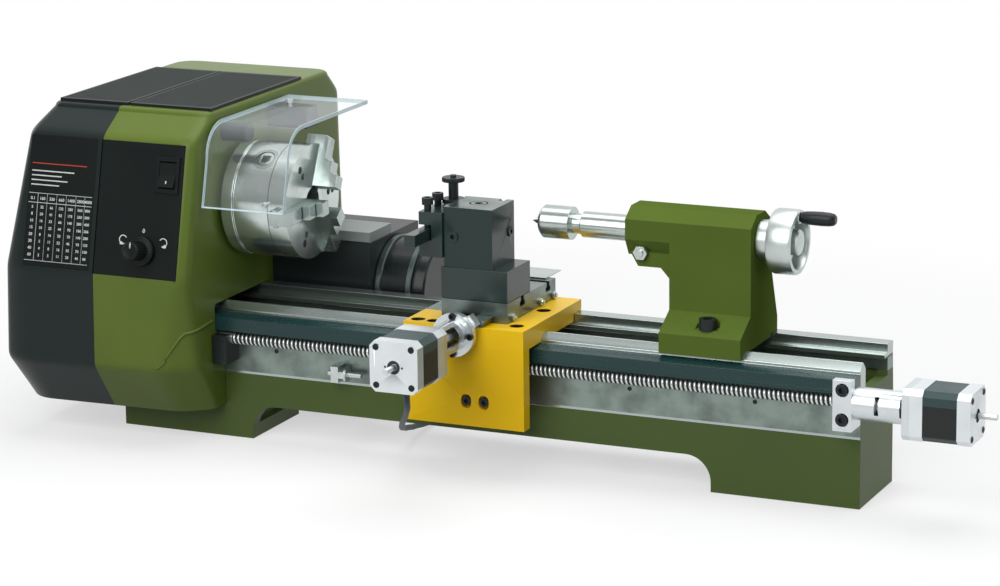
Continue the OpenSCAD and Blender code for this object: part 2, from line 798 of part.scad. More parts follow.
module saddle() {
    color("#e9b90e") difference() {
        union() {
            along_x(carriage_left, carriage_left + saddle_width) polygon(saddle_points);
            along_y(-saddle_front, saddle_back) translate([carriage_x, saddle_top])
                polygon(dovetail(0));
        }
        box([cross_x - channel / 2, -saddle_front + 8, ledge_z],
            [cross_x + channel / 2, saddle_back - 6, saddle_top + 20]);
        translate([cross_x, 0, cross_z]) ycyl(-saddle_front - 1, saddle_back + 1, cross_screw_d / 2 + fit);
        for (p = saddle_holes) translate([p[0], p[1], saddle_top - 9]) {
            cylinder(h = 10, d = 12.5);
            translate([0, 0, -20]) cylinder(h = 25, d = 6.5);
        }
    }
}

saddle_holes = [[carriage_left + 9.2, -saddle_front + 10], [carriage_left + 24, -saddle_front + 9.6],
    [carriage_left + saddle_width - 13.5, -saddle_front + 18],
    [carriage_left + saddle_width - 14, -saddle_front + 75]];

module apron() {
    color("#f2c40c") difference() {
        box([carriage_left, -saddle_front, apron_low],
            [carriage_left + saddle_width, -saddle_front + apron_t, saddle_seam]);
        for (x = nut_screws) {
            translate([x, 0, nut_screw_z + 1.5]) ycyl(-saddle_front - 1, -saddle_front + 6, 4.6);
            translate([x, 0, nut_screw_z - 1.5]) ycyl(-saddle_front - 1, -saddle_front + 6, 4.6);
            box([x - 4.6, -saddle_front - 1, nut_screw_z - 1.5],
                [x + 4.6, -saddle_front + 6, nut_screw_z + 1.5]);
            translate([x, 0, nut_screw_z]) ycyl(-saddle_front, -saddle_front + apron_t + 1, 2.6);
        }
    }
}

nut_screws = [carriage_x + 2, carriage_x + 18];
nut_screw_z = apron_low + 21;

module apron_screws() {
    color("#17181a") for (x = nut_screws)
        translate([x, -saddle_front + 1, nut_screw_z]) rotate([90, 0, 0]) cap_screw(5, 12);
}

// Bracket behind the apron that carries the leadscrew's nut
module lead_nut() {
    y0 = -saddle_front + apron_t;
    x0 = carriage_x - 8;
    x1 = carriage_x + 28;
    r = leadscrew_d / 2 + 1.2;
    color("#b8955a") difference() {
        union() {
            box([x0, y0, apron_low + 12], [x1, y0 + 8, leadscrew_z + r]);
            box([x0, y0, leadscrew_z - r], [x1, leadscrew_y, leadscrew_z + r]);
            translate([0, leadscrew_y, leadscrew_z]) xcyl(x0, x1, r);
        }
        translate([0, leadscrew_y, leadscrew_z]) xcyl(x0 - 1, x1 + 1, leadscrew_d / 2 + fit);
        for (x = nut_screws) translate([x, 0, nut_screw_z]) ycyl(y0 - 1, y0 + 9, 2.52);
    }
}

t_slots = [slide_front + 31, slide_front + 85];

module cross_slide() {
    x0 = slide_left;
    back = slide_front + slide_length;
    color("#5d6a6a") difference() {
        union() {
            box([x0, slide_front, slide_low], [x0 + slide_width, back, slide_top]);
            box([cross_x - 7, slide_front + 22, way_top + 0.35],
                [cross_x + 7, slide_front + 44, slide_low + dovetail_height + 1]);
        }
        difference() {
            along_y(slide_front - 1, back + 1) translate([carriage_x, saddle_top])
                polygon(concat(dovetail(0.15), [[dovetail_width / 2 - 2.85, -1],
                    [-dovetail_width / 2 + 2.85, -1]]));
            box([cross_x - 7, slide_front + 22, way_top + 0.35],
                [cross_x + 7, slide_front + 44, slide_low + dovetail_height + 1]);
        }
        translate([carriage_x, 0, saddle_top + dovetail_height]) box([-dovetail_width / 2, slide_front - 1,
            -1], [-channel / 2 - 8, back + 1, 0.15]);
        translate([carriage_x, 0, saddle_top + dovetail_height]) box([channel / 2 - 4, slide_front - 1,
            -1], [dovetail_width / 2, back + 1, 0.15]);
        translate([cross_x, 0, cross_z]) ycyl(slide_front, back, cross_screw_d / 2 + fit);
        for (y = t_slots) {
            box([x0 - 1, y - 3, slide_top - 8], [x0 + slide_width + 1, y + 3, slide_top + 1]);
            box([x0 - 1, y - 5, slide_top - 8], [x0 + slide_width + 1, y + 5, slide_top - 4]);
        }
        for (y = gib_places) translate([0, y, saddle_top + 4])
            xcyl(x0 + slide_width - 12, x0 + slide_width + 1, 1.8);
    }
}

gib_places = [slide_front + 10, slide_front + 68, slide_front + 95];

module gib_screws() {
    x1 = slide_left + slide_width;
    color("#c9cfd2") for (y = gib_places) translate([0, y, saddle_top + 4]) {
        xcyl(x1 - 8, x1 + 4, 1.78);
        translate([x1, 0, 0]) rotate([0, 90, 0]) cylinder(h = 2, r = 3.4, $fn = 6);
    }
}

module cross_screw() {
    color("#b9bfc2") translate([cross_x, 0, cross_z]) {
        ycyl(cross_motor_y + 12, saddle_back + 1, cross_screw_d / 2);
        ycyl(cross_motor_y - stepper_length - 16, cross_motor_y + 13, stepper_shaft_d / 2);
        ycyl(cross_motor_y + 6, cross_motor_y + 30, 7.5);
    }
}

// Thin cover plate over the back of the cross slide
module rear_cover() {
    back = slide_front + slide_length;
    color("#cfd6d6") box([carriage_x - 7.5, back - 8, slide_top],
        [carriage_x + 26.5, back + 25, slide_top + 1.2]);
}

module riser() {
    color("#33504b") box([slide_left, slide_front, slide_top],
        [slide_left + slide_width, slide_front + riser_depth, riser_top]);
}

// Block with a dovetail on its left face and a clamping screw from above
module tool_post() {
    right = post_left + post_width;
    mid_x = post_left + post_width / 2;
    boss_z = post_top - 25;
    color("#2f4a47") difference() {
        union() {
            box([post_left, post_front, riser_top], [right, post_back, post_top]);
            translate([post_left + 8.7, 0, boss_z]) ycyl(post_front - 1.5, post_front + 1, 4.4);
            translate([0, post_back - 9, boss_z]) xcyl(right - 1, right + 1.5, 4.4);
            translate([post_left, post_y, riser_top]) linear_extrude(height = post_height - 2)
                holder_tail(0);
        }
        translate([post_left + 8.7, post_front - 1.5, boss_z]) rotate([90, 0, 0]) socket(4, 3);
        translate([right + 1.5, post_back - 9, boss_z]) rotate([0, 90, 0]) socket(4, 3);
        translate([mid_x, post_y, post_top - 4]) cylinder(h = 5, d = 16);
        translate([stud_x, stud_y, nut_low - 0.1]) cylinder(h = 9, r = nut_r + 0.4);
        translate([right - 9, post_back, post_top]) rotate([0, 45, 0])
            cube([4, 14, 4], center = true);
    }
    color("#7d898c") translate([mid_x, post_y, post_top]) cap_screw(8.5, 0.1);
}

// Middle of the tool post, seen from above, and the stud that sets the tool's height
post_y = post_front + post_depth / 2;
stud_x = post_left - 7;
stud_y = post_y + 12.8;
stud_r = 2.5;
// Foot and radius of the height nut, whose lower disc lies in a recess of the post
nut_low = post_top - 4.2;
nut_r = 9.6;
holder_front = post_front - 3;
holder_back = stud_y + 5;
holder_top = tool_top + 14;
holder_screw_y = [holder_front + 7, holder_front + 27];
holder_screw_d = 6;

// Dovetail on the tool post's left face, seen from above
module holder_tail(e) {
    polygon([[0.01, -6 - e], [-5 - e, -9 - e], [-5 - e, 9 + e], [0.01, 6 + e]]);
}

// Block with a slot for the tool, open to the left, and a stud for the height nut
module tool_holder() {
    low = tool_top - tool_size - 14;
    color("#2c4643") difference() {
        union() {
            box([holder_x, holder_front, low], [post_left - gap, holder_back, holder_top]);
            translate([stud_x, stud_y, holder_top - 1]) cylinder(h = 26, r = stud_r);
        }
        box([holder_x - 1, holder_front - 1, tool_top - tool_size],
            [tool_x + tool_size / 2 + 1, holder_back + 1, tool_top + 3]);
        translate([post_left, post_y, low - 1]) linear_extrude(height = holder_top - low + 2)
            holder_tail(0.15);
        for (y = holder_screw_y) translate([tool_x, y, tool_top])
            cylinder(h = 20, d = holder_screw_d + 0.04);
    }
}

module holder_screws() {
    color("#2a2f31") for (y = holder_screw_y)
        translate([tool_x, y, tool_top + 25]) cap_screw(holder_screw_d, 25 - holder_screw_d);
}

// Two knurled discs on one sleeve that stands on the post and lifts the holder's stud
module height_nut() {
    color("#20282a") translate([stud_x, stud_y, nut_low]) difference() {
        union() {
            cylinder(h = 3.8, r = nut_r);
            cylinder(h = 20, r = 4.2);
            translate([0, 0, 18.2]) cylinder(h = 3.6, r = nut_r);
        }
        translate([0, 0, -1]) cylinder(h = 30, r = stud_r + fit);
    }
}

module cutting_tool() {
    x0 = tool_x - tool_size / 2;
    tip = 2 - jaw_opening;
    color("#3a5450") difference() {
        box([x0, post_front - 32, tool_top - tool_size], [x0 + tool_size, tip, tool_top]);
        translate([x0 + tool_size, tip - 9, tool_top - tool_size - 1]) rotate(42)
            cube([14, 14, tool_size + 2]);
    }
}

// Round mount with a square plate for a stepper motor: axis along +Z from the foot, and the
// narrow windows for the coupling's screws turned by an angle about it
module mount_tube(length, window_turn) {
    difference() {
        union() {
            cylinder(h = length - plate_t, d = tube_d);
            cut_plate(stepper_size, length - plate_t, length);
        }
        translate([0, 0, -1]) cylinder(h = length + 2, d = tube_bore);
        for (z = [length * 0.41, length * 0.83]) translate([0, 0, z]) rotate([0, 0, window_turn])
            box([0, -7.5, -1.7], [tube_d, 7.5, 1.7]);
        for (a = [45:90:315]) rotate(a) translate([stepper_size * 0.52, 0, length - plate_t - 1])
            cylinder(h = plate_t + 2, d = 3.04);
    }
}

// Mount on the saddle's front: collar, screwed flange, clamp ear and a tube open at one side
module cross_motor_mount() {
    color("#c9d3d9") translate([cross_x, -saddle_front, cross_z]) rotate([90, 0, 0]) difference() {
        union() {
            cylinder(h = 8, d = 31);
            translate([0, 0, 7]) cylinder(h = 6, d = 37);
            rotate(38) box([11, -5.5, 1], [21, 5.5, 9]);
            mount_tube(cross_tube_length, -20);
        }
        translate([0, 0, -1]) cylinder(h = 20, d = tube_bore);
        box([3, -4, 20], [20, 20, 56]);
        for (a = [0:90:270]) rotate(a) translate([15.9, 0, -1]) cylinder(h = 15, d = 3.4);
    }
}

module motor_mount() {
    color("#c9d3d9") translate([bed_x, leadscrew_y, leadscrew_z]) rotate([0, 90, 0])
        mount_tube(tube_length, -100);
}

// Stepper motor from the plate outwards along +Z, with end caps, stack and screws
module stepper() {
    cap = 11;
    difference() {
        union() {
            color("#c9d3d9") cut_plate(stepper_size, 0, cap);
            color("#20282b") cut_plate(stepper_size - 1, cap, stepper_length - cap);
            color("#c9d3d9") cut_plate(stepper_size, stepper_length - cap, stepper_length);
        }
        translate([0, 0, -1]) cylinder(h = stepper_length + 2, r = stepper_shaft_d / 2 + fit);
        translate([0, 0, stepper_length - 1]) cylinder(h = 2, r = 5.5);
        for (a = [45:90:315]) rotate(a) translate([stepper_size * 0.52, 0, stepper_length - 2.5]) {
            cylinder(h = 4, d = 5.2);
        }
    }
    color("#2a2f31") for (a = [45:90:315]) rotate(a)
        translate([stepper_size * 0.52, 0, stepper_length - 0.4]) difference() {
            translate([0, 0, -2.1]) cylinder(h = 2.1, d = 4.6);
            socket(2.4, 1.4);
        }
}

module cross_motor() {
    translate([cross_x, cross_motor_y, cross_z]) rotate([90, 0, 0]) stepper();
}

module bed_motor() {
    translate([motor_x, leadscrew_y, leadscrew_z]) rotate([0, 90, 0]) stepper();
}

// Bearing blocks for both ends of the leadscrew
module screw_blocks() {
    color("#c9d3d9") difference() {
        union() {
            box([block_left, block_front, block_low], [bed_x, -bed_y, wall_top]);
            box([block_left, block_front, wall_top], [bed_x, -bed_y - way_overhang, ledge_z]);
            box([hood_right + 1, block_front, block_low], [leadscrew_left, -bed_y, leadscrew_z + 4]);
        }
        translate([0, leadscrew_y, leadscrew_z]) {
            xcyl(block_left - 1, bed_x + 1, leadscrew_d / 2 + fit);
            xcyl(hood_right, leadscrew_left + 1, leadscrew_d / 2 + fit);
        }
        block_holes(block_screw_d + 0.04);
        for (z = block_screw_z) translate([bed_x - block_t / 2, 0, z])
            ycyl(block_front - 1, block_front + 5, 5.5);
    }
}

block_screw_d = 6;
block_screw_z = [leadscrew_z - 12, leadscrew_z + 12.5];

// Holes for the screws that hold the right block, as deep as the casting's wall
module block_holes(d) {
    for (z = block_screw_z) translate([bed_x - block_t / 2, 0, z])
        ycyl(block_front - 1, -bed_y + bed_wall, d / 2);
}

module block_screws() {
    shank = bed_wall - block_screw_d + 20;
    color("#17181a") for (z = block_screw_z)
        translate([bed_x - block_t / 2, block_front - 1, z])
            rotate([90, 0, 0]) cap_screw(block_screw_d, shank);
}

// Screw from block to block, with its coupling and the motor's shaft
module leadscrew() {
    color("#d0d6d8") translate([0, leadscrew_y, leadscrew_z]) {
        xcyl(hood_right + 3, bed_x + 12, leadscrew_d / 2);
        xcyl(bed_x + 8, bed_x + 34, 7.5);
        xcyl(bed_x + 30, motor_x + stepper_length + 16, stepper_shaft_d / 2);
    }
}

// Adjustable stop: hexagon nut, washer and a threaded pin along the bed
module limit_stop() {
    x = carriage_left - 82;
    y = -bed_y - 7;
    color("#aab2b5") {
        difference() {
            box([x, -bed_y - 12, strip_low + 4], [x + 7, -bed_y, strip_low + 18]);
            translate([0, y, strip_low + 11]) xcyl(x - 1, x + 8, 2.5);
        }
        translate([0, y, strip_low + 11]) {
            xcyl(x - 4, x + 27, 2.5);
            translate([x + 7, 0, 0]) rotate([0, 90, 0]) cylinder(h = 5, r = 5.8, $fn = 6);
            xcyl(x + 12, x + 14, 6.4);
        }
    }
}

// Cross section of the tailstock's upper body, as y and z about the axis
module tail_head() {
    polygon([[-10, 22], [10, 22], [24, 13], [24, -4], [16, -18], [-16, -18], [-24, -4], [-24, 13]]);
}

module tailstock() {
    foot = way_top - flank_height;
    base_top = way_top + 11;
    lug_x = tail_left + 14.5;
    color("#4a5c28") difference() {
        union() {
            along_x(tail_left, tailstock_x) translate([0, axis_z]) tail_head();
            along_x(tail_base_left, tailstock_x) polygon([[-24, axis_z - 4], [-24, base_top + 14],
                [-bed_y - 5, base_top], [-bed_y - 5, foot], [bed_y - 2, foot + 3], [bed_y - 2, base_top],
                [22, axis_z - 18], [24, axis_z - 4]]);
            along_y(-22.5, 20) polygon([[tail_left + 4, axis_z - 14], [tail_left + 11, axis_z - 26],
                [tail_left + 31, axis_z - 26], [tail_base_left + 1, axis_z - 36],
                [tail_base_left + 1, axis_z - 14]]);
        }
        translate([0, 0, axis_z]) xcyl(tail_left - 1, tailstock_x + 1, quill_d / 2 + fit);
        along_x(tail_base_left - 1, tailstock_x + 1) polygon([
            [-ridge_y - flank_height - 0.1, foot - 1], [-ridge_y - flank_height - 0.1, foot],
            [-ridge_y - 0.1, way_top + 0.1], [-ridge_y + 1.1, way_top + 0.1],
            [-ridge_y + 7.1, foot], [-ridge_y + 7.1, foot - 1]]);
        along_x(tail_base_left - 1, tailstock_x + 1) polygon([[-26, foot - 1], [-26, foot + 3],
            [rear_way_y - 2, foot + 3], [rear_way_y - 2, way_top + 0.1], [bed_y, way_top + 0.1],
            [bed_y, foot - 1]]);
        translate([clamp_x, clamp_y, clamp_seat]) cylinder(h = 30, d = 20);
        translate([clamp_x, clamp_y, clamp_seat - 12]) cylinder(h = 20, r = clamp_d / 2 + fit);
        translate([lug_x, 0, axis_z - 14]) ycyl(-30, -quill_d / 2 + 4, 3 + fit);
    }
}

clamp_x = tail_base_left + 39;
clamp_y = -ridge_y;
clamp_seat = way_top + 15;
clamp_d = 9;

// Socket screw in the front of the tailstock's base
module clamp_bolt() {
    color("#202326") translate([clamp_x, clamp_y, clamp_seat + clamp_d + 0.1])
        cap_screw(clamp_d, 11.5);
}

module quill() {
    color("#cdd4d6") translate([0, 0, axis_z]) difference() {
        xcyl(quill_left, quill_left + quill_length, quill_d / 2);
        xcyl(quill_left - 1, quill_left + 32, 6.2);
        xcyl(quill_left + 32 - cut, quill_left + quill_length + 1, 5 + fit);
    }
}

// Feed screw, graduated collar and rimmed wheel, turned from one axis
module handwheel() {
    r = wheel_d / 2;
    color("#c6cdd0") translate([0, 0, axis_z]) {
        xcyl(quill_left + 68, wheel_x, 5);
        xcyl(tailstock_x + gap, wheel_x, 16.5);
        difference() {
            union() {
                xcyl(wheel_x - 0.1, wheel_x + wheel_w, 11);
                difference() {
                    xcyl(wheel_x, wheel_x + wheel_w, r);
                    xcyl(wheel_x + 8, wheel_x + wheel_w + 1, r - 5);
                    xcyl(wheel_x - 1, wheel_x + wheel_w + 1, 10);
                }
                translate([0, 0, crank_radius]) xcyl(wheel_x + 2, wheel_x + wheel_w, 5.5);
            }
            translate([0, 0, crank_radius]) xcyl(wheel_x + 6, wheel_x + wheel_w + 1, 3 + fit);
        }
    }
}

module crank_handle() {
    x0 = wheel_x + wheel_w;
    color("#1b1d20") translate([0, 0, axis_z + crank_radius]) {
        xcyl(wheel_x + 6.3, x0 + 4, 3);
        rotate([0, 90, 0]) translate([0, 0, x0 + gap]) rotate_extrude()
            polygon([[0, 0], [4, 0], [crank_d / 2, 5], [crank_d / 2 + 0.4, 16], [crank_d / 2, 26],
                [4, 30], [0, 30]]);
    }
}

// Body and 60 degree cone that turn in the quill on a tapered shank
module live_centre() {
    x1 = quill_left - 2;
    color("#d4dadc") translate([0, 0, axis_z]) {
        xcyl(x1, quill_left + 28, 6.2 - fit);
        xcyl(x1 - centre_neck, x1 + 1, 8.5);
        xcyl(x1 - centre_neck - centre_length + 3, x1 - centre_neck, centre_d / 2);
        translate([x1 - centre_neck - centre_length, 0, 0]) rotate([0, 90, 0])
            cylinder(h = 3, r1 = centre_d / 2 - 3, r2 = centre_d / 2);
        translate([x1 - centre_neck - centre_length - 9, 0, 0]) rotate([0, 90, 0])
            cylinder(h = 9.1, r1 = 0.3, r2 = 5.5);
    }
}

// Hexagon nut on a stud that locks the quill
module lock_nut() {
    color("#aab2b5") translate([tail_left + 14.5, 0, axis_z - 14]) {
        ycyl(-29.5, -12, 3);
        translate([0, -22.6, 0]) rotate([90, 0, 0]) cylinder(h = 5, r = 6.4, $fn = 6);
    }
}

// Route of the motor cable: down from the motor, under the bed's arch and on to the coil
cable_points = [[4.5, -182, 104.15], [4.5, -182, 98], [3, -178.5, 91], [-1, -169.5, 82.5],
    [-7, -159, 76], [-13, -148, 70], [-19, -137.5, 64], [-25.5, -127, 58.5], [-31.5, -116, 53.5],
    [-37.5, -105, 48.5], [-43, -94, 43.5], [-49, -82.5, 39], [-54.5, -71, 34.5],
    [-60, -59.5, 30.5], [-65, -47.5, 27], [-70, -35.5, 23], [-74, -23, 19], [-77, -10.5, 16],
    [-80, 2.5, 12.5], [-82.5, 15.5, 10], [-83.5, 28.5, 7.5], [-84.5, 42, 5.5], [-85, 55.5, 4],
    [-85, 69, 3], [-85, 82.5, 2.6], [-85, 96, 2.6], [-85, 109.5, 2.6], [-85, 134, 2.6],
    [-85, 140, 2.6]];

// Coil on the bench: a layer that winds in, and a layer on it that winds out again
coil_r = 33;
coil_pitch = cable_d + 0.5;
coil_y = 146;
coil_x = -85 + coil_r;
coil_z = 2.6;
// Turns at which the spiral reverses and at which it leaves the coil
coil_middle = coil_turns + 0.25;
coil_end = 2 * coil_turns + 0.25;
function coil_radius(t) = coil_r - coil_pitch * (t < coil_middle ? t : 2 * coil_middle - t);
function coil_height(t) = coil_z + coil_pitch * min(1, max(0, (t - coil_turns) * 2));
loop_points = [for (i = [0:24 * coil_end]) let (t = i / 24, a = 180 - 360 * t)
    [coil_x + coil_radius(t) * cos(a), coil_y + coil_radius(t) * sin(a), coil_height(t)]];
last_loop = loop_points[len(loop_points) - 1];
tail_points = [[8, 0, 0], [22, 0, 0], [32, 1, -1.6], [42, 1, -4], [50, 1, -4.5], [56, 1, -4.5]];
plug_at = last_loop + tail_points[5];
coil_points = concat([[coil_x - coil_r, 140, coil_z]], loop_points,
    [for (p = tail_points) last_loop + p]);
coil_gap = min([for (i = [0:len(loop_points) - 1], j = [i + 12:len(loop_points) - 1])
    norm(loop_points[i] - loop_points[j])]) - cable_d;
echo(least_gap_of_the_coil = coil_gap);

function unit(v) = v / norm(v);

// Direction of a run of points at point i
function heading(p, i) = i == 0 ? unit(p[1] - p[0])
    : i == len(p) - 1 ? unit(p[i] - p[i - 1]) : unit(unit(p[i + 1] - p[i]) + unit(p[i] - p[i - 1]));

// Round tube along points, as one closed body
module tube(p, r, sides) {
    step = 360 / sides;
    rings = [for (i = [0:len(p) - 1]) let (h = heading(p, i), s = unit(cross([0, 0.01, 1], h)),
        t = cross(h, s)) for (k = [0:sides - 1])
        p[i] + r * (cos((k + 0.5) * step) * s + sin((k + 0.5) * step) * t)];
    last = (len(p) - 1) * sides;
    polyhedron(points = rings, faces = concat(
        [[for (k = [0:sides - 1]) k]],
        [[for (k = [sides - 1:-1:0]) last + k]],
        [for (i = [0:len(p) - 2], k = [0:sides - 1]) [i * sides + k, (i + 1) * sides + k,
            (i + 1) * sides + (k + 1) % sides]],
        [for (i = [0:len(p) - 2], k = [0:sides - 1]) [i * sides + k,
            (i + 1) * sides + (k + 1) % sides, i * sides + (k + 1) % sides]]));
}

module motor_cable() {
    color("#3a3f42") tube(cable_points, cable_d / 2, 8);
}

module cable_coil() {
    color("#3a3f42") tube(coil_points, cable_d / 2, 6);
}

// Flat connector with a row of contacts at the end of the coil
module cable_plug() {
    color("#e4e6e2") translate([plug_at[0], plug_at[1], 0]) difference() {
        union() {
            box([0, -8, 0.1], [16, 8, 7.5]);
            box([3, -3, 7], [13, 3, 8.8]);
        }
        for (y = [-6:3:6]) box([8, y - 1, 2.5], [17, y + 1, 5]);
    }
}

bed();
ways();
head_casting();
spindle_bearings();
hood();
belt_cover();
vents();
control_panel();
speed_plate();
rocker();
selector_knob();
spindle();
drive_belt();
motor_shaft();
drive_housing();
housing_lid();
drive_motor();
backplate();
chuck_body();
scroll();
jaw_1();
jaw_2();
jaw_3();
pinion();
guard();
guard_block();
guard_rest();
guard_screws();
saddle();
apron();
apron_screws();
lead_nut();
cross_slide();
gib_screws();
cross_screw();
rear_cover();
riser();
tool_post();
tool_holder();
height_nut();
holder_screws();
cutting_tool();
cross_motor_mount();
cross_motor();
screw_blocks();
block_screws();
leadscrew();
motor_mount();
bed_motor();
limit_stop();
tailstock();
clamp_bolt();
quill();
handwheel();
crank_handle();
live_centre();
lock_nut();
motor_cable();
cable_coil();
cable_plug();
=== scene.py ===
"""Looks of a small precision lathe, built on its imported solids.

Sizes are in millimetres in the solids' frame: +X runs along the bed to the
tailstock, +Y to the back and +Z up. Meshes are written in metres.
"""
import json
import logging
import math
from contextlib import contextmanager
from dataclasses import dataclass, field
from enum import Enum
from typing import Callable, Iterable, Iterator, Sequence, Union

import bmesh
import bpy
import numpy as np
from mathutils import Matrix, Vector


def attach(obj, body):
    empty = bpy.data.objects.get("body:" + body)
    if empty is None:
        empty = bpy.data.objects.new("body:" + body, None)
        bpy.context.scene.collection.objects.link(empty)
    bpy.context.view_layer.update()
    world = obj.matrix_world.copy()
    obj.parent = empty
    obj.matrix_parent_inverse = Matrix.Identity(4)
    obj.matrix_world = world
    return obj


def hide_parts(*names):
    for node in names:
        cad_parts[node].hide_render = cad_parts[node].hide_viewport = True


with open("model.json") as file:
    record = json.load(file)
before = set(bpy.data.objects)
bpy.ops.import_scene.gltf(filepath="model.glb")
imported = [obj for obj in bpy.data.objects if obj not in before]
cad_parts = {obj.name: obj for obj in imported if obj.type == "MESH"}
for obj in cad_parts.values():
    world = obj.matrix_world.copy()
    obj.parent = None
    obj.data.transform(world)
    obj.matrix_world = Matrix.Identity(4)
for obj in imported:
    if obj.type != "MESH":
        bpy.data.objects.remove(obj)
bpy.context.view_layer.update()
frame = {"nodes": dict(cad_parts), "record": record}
LOG = logging.getLogger("lathe")
MM = 0.001
AXIS_Z = 206.0
# Points closer than this, in metres, are one point
MERGE = 2e-6
Colour = tuple[float, float, float]


def srgb(code: str) -> Colour:
    """Linear colour of a six-digit hexadecimal sRGB code.

    Args:
        code: six hexadecimal digits, such as "7d8c44".

    Returns:
        Red, green and blue from 0 to 1, linear.
    """
    parts = [int(code[i:i + 2], 16) / 255 for i in (0, 2, 4)]
    return tuple(c / 12.92 if c <= 0.04045 else ((c + 0.055) / 1.055) ** 2.4 for c in parts)


# Shader maths


class Val:
    """A number on a node's socket, with Python's operators."""

    def __init__(self, tree: "Tree", socket: bpy.types.NodeSocket) -> None:
        """Keeps the tree that owns the socket, and the socket."""
        self.tree, self.socket = tree, socket

    def op(self, kind: str, *others: Union["Val", float], swap: bool = False) -> "Val":
        """Adds one Math node.

        Args:
            kind: the Math node's operation.
            others: its further operands.
            swap: True where this value is the second operand.

        Returns:
            The node's result.
        """
        operands = [*others, self] if swap else [self, *others]
        return self.tree.make("ShaderNodeMath", {"operation": kind}, dict(enumerate(operands)))

    def __add__(self, other): return self.op("ADD", other)
    def __radd__(self, other): return self.op("ADD", other)
    def __sub__(self, other): return self.op("SUBTRACT", other)
    def __rsub__(self, other): return self.op("SUBTRACT", other, swap=True)
    def __mul__(self, other): return self.op("MULTIPLY", other)
    def __rmul__(self, other): return self.op("MULTIPLY", other)
    def __truediv__(self, other): return self.op("DIVIDE", other)
    def __rtruediv__(self, other): return self.op("DIVIDE", other, swap=True)
    def __gt__(self, other): return self.op("GREATER_THAN", other)
    def __lt__(self, other): return self.op("LESS_THAN", other)

    def sqrt(self) -> "Val":
        """Square root."""
        return self.op("SQRT")

    def hypot(self, other: "Val") -> "Val":
        """Square root of the sum of this value's square and another's."""
        return (self * self + other * other).sqrt()

    def fract(self) -> "Val":
        """Part after the decimal point."""
        return self.op("FRACT")

    def between(self, low: float, high: float) -> "Val":
        """1 from low to high, and 0 elsewhere."""
        return (self > low) * (self < high)

    def ramp(self, low: float, high: float, start: float = 0.0, end: float = 1.0) -> "Val":
        """start at low, end at high, smooth between and held outside."""
        return self.tree.make("ShaderNodeMapRange", {"interpolation_type": "SMOOTHSTEP"},
                              {0: self, 1: low, 2: high, 3: start, 4: end})


class Tree:
    """The shader nodes of a material or a world."""

    def __init__(self, owner: bpy.types.Material | bpy.types.World) -> None:
        """Gives the owner a tree with Blender's first nodes."""
        owner.use_nodes = True
        self.nodes, self.links = owner.node_tree.nodes, owner.node_tree.links

    def node(self, kind: str, settings: dict | None = None,
             values: dict | None = None) -> bpy.types.Node:
        """Adds any node.

        Args:
            kind: its type, such as "ShaderNodeMath".
            settings: attributes, which are set first.
            values: numbers, colours or links by socket name or index.

        Returns:
            The node.
        """
        made = self.nodes.new(kind)
        for key, value in (settings or {}).items():
            setattr(made, key, value)
        for key, value in (values or {}).items():
            self.feed(made.inputs[key], value)
        return made

    def feed(self, socket: bpy.types.NodeSocket, value) -> None:
        """Links a value to a socket, or sets the socket's own number or colour."""
        if isinstance(value, Val):
            self.links.new(value.socket, socket)
        elif isinstance(value, (tuple, list)) and socket.type == "RGBA":
            socket.default_value = (*value[:3], 1.0)
        else:
            socket.default_value = value

    def make(self, kind: str, settings: dict | None = None, values: dict | None = None,
             out: int | str = 0) -> Val:
        """Adds a node and returns one of its outputs."""
        return Val(self, self.node(kind, settings, values).outputs[out])

    def rays(self, kind: str) -> Val:
        """1 for rays of a kind, such as "Camera", and 0 for others."""
        return self.make("ShaderNodeLightPath", out=f"Is {kind} Ray")

    def blend(self, factor: Val, a: Val, b: Val) -> Val:
        """Shader a, and b where the factor is 1."""
        return self.make("ShaderNodeMixShader", None, {0: factor, 1: a, 2: b})


class Shade(Tree):
    """One material and the nodes that are added to it."""

    def __init__(self, name: str) -> None:
        """Starts an empty material with a Principled BSDF."""
        self.material = bpy.data.materials.new(name)
        super().__init__(self.material)
        self.bsdf = self.nodes["Principled BSDF"]
        self._point: tuple[Val, Val, Val] | None = None

    def point(self) -> tuple[Val, Val, Val]:
        """The surface point's x, y and z in millimetres."""
        if self._point is None:
            where = self.make("ShaderNodeTexCoord", out="Object")
            parts = self.node("ShaderNodeSeparateXYZ", None, {0: where})
            self._point = tuple(Val(self, socket) * (1 / MM) for socket in parts.outputs)
        return self._point

    def vector(self, x, y, z) -> Val:
        """A vector from three numbers or links."""
        return self.make("ShaderNodeCombineXYZ", None, {0: x, 1: y, 2: z})

    def noise(self, vector: Val, scale: float = 1.0, detail: float = 3.0) -> Val:
        """Noise from 0 to 1 at a vector."""
        return self.make("ShaderNodeTexNoise", None,
                         {"Vector": vector, "Scale": scale, "Detail": detail})

    def mix(self, factor, a, b) -> Val:
        """Colour a, and b where the factor is 1."""
        return self.make("ShaderNodeMix", {"data_type": "RGBA"}, {0: factor, 6: a, 7: b}, 2)

    def bump(self, height: Val, distance: float, strength: float = 1.0) -> Val:
        """Normal of a surface raised by height times a distance in millimetres."""
        return self.make("ShaderNodeBump", None, {"Strength": strength, "Height": height,
                                                  "Distance": distance * MM})

    def finish(self, **sockets) -> bpy.types.Material:
        """Feeds the Principled BSDF's sockets, named with _ for a space."""
        names = {key.lower().replace(" ", "_"): key for key in self.bsdf.inputs.keys()}
        for key, value in sockets.items():
            self.feed(self.bsdf.inputs[names[key]], value)
        return self.material


class Grain(Enum):
    """The way in which the marks of a tool run over metal."""

    ALONG_X = (0.01, 3.4, 3.4)
    ALONG_Y = (1.6, 0.02, 1.6)
    TURNED_X = None
    CAST = (0.5, 0.5, 0.5)


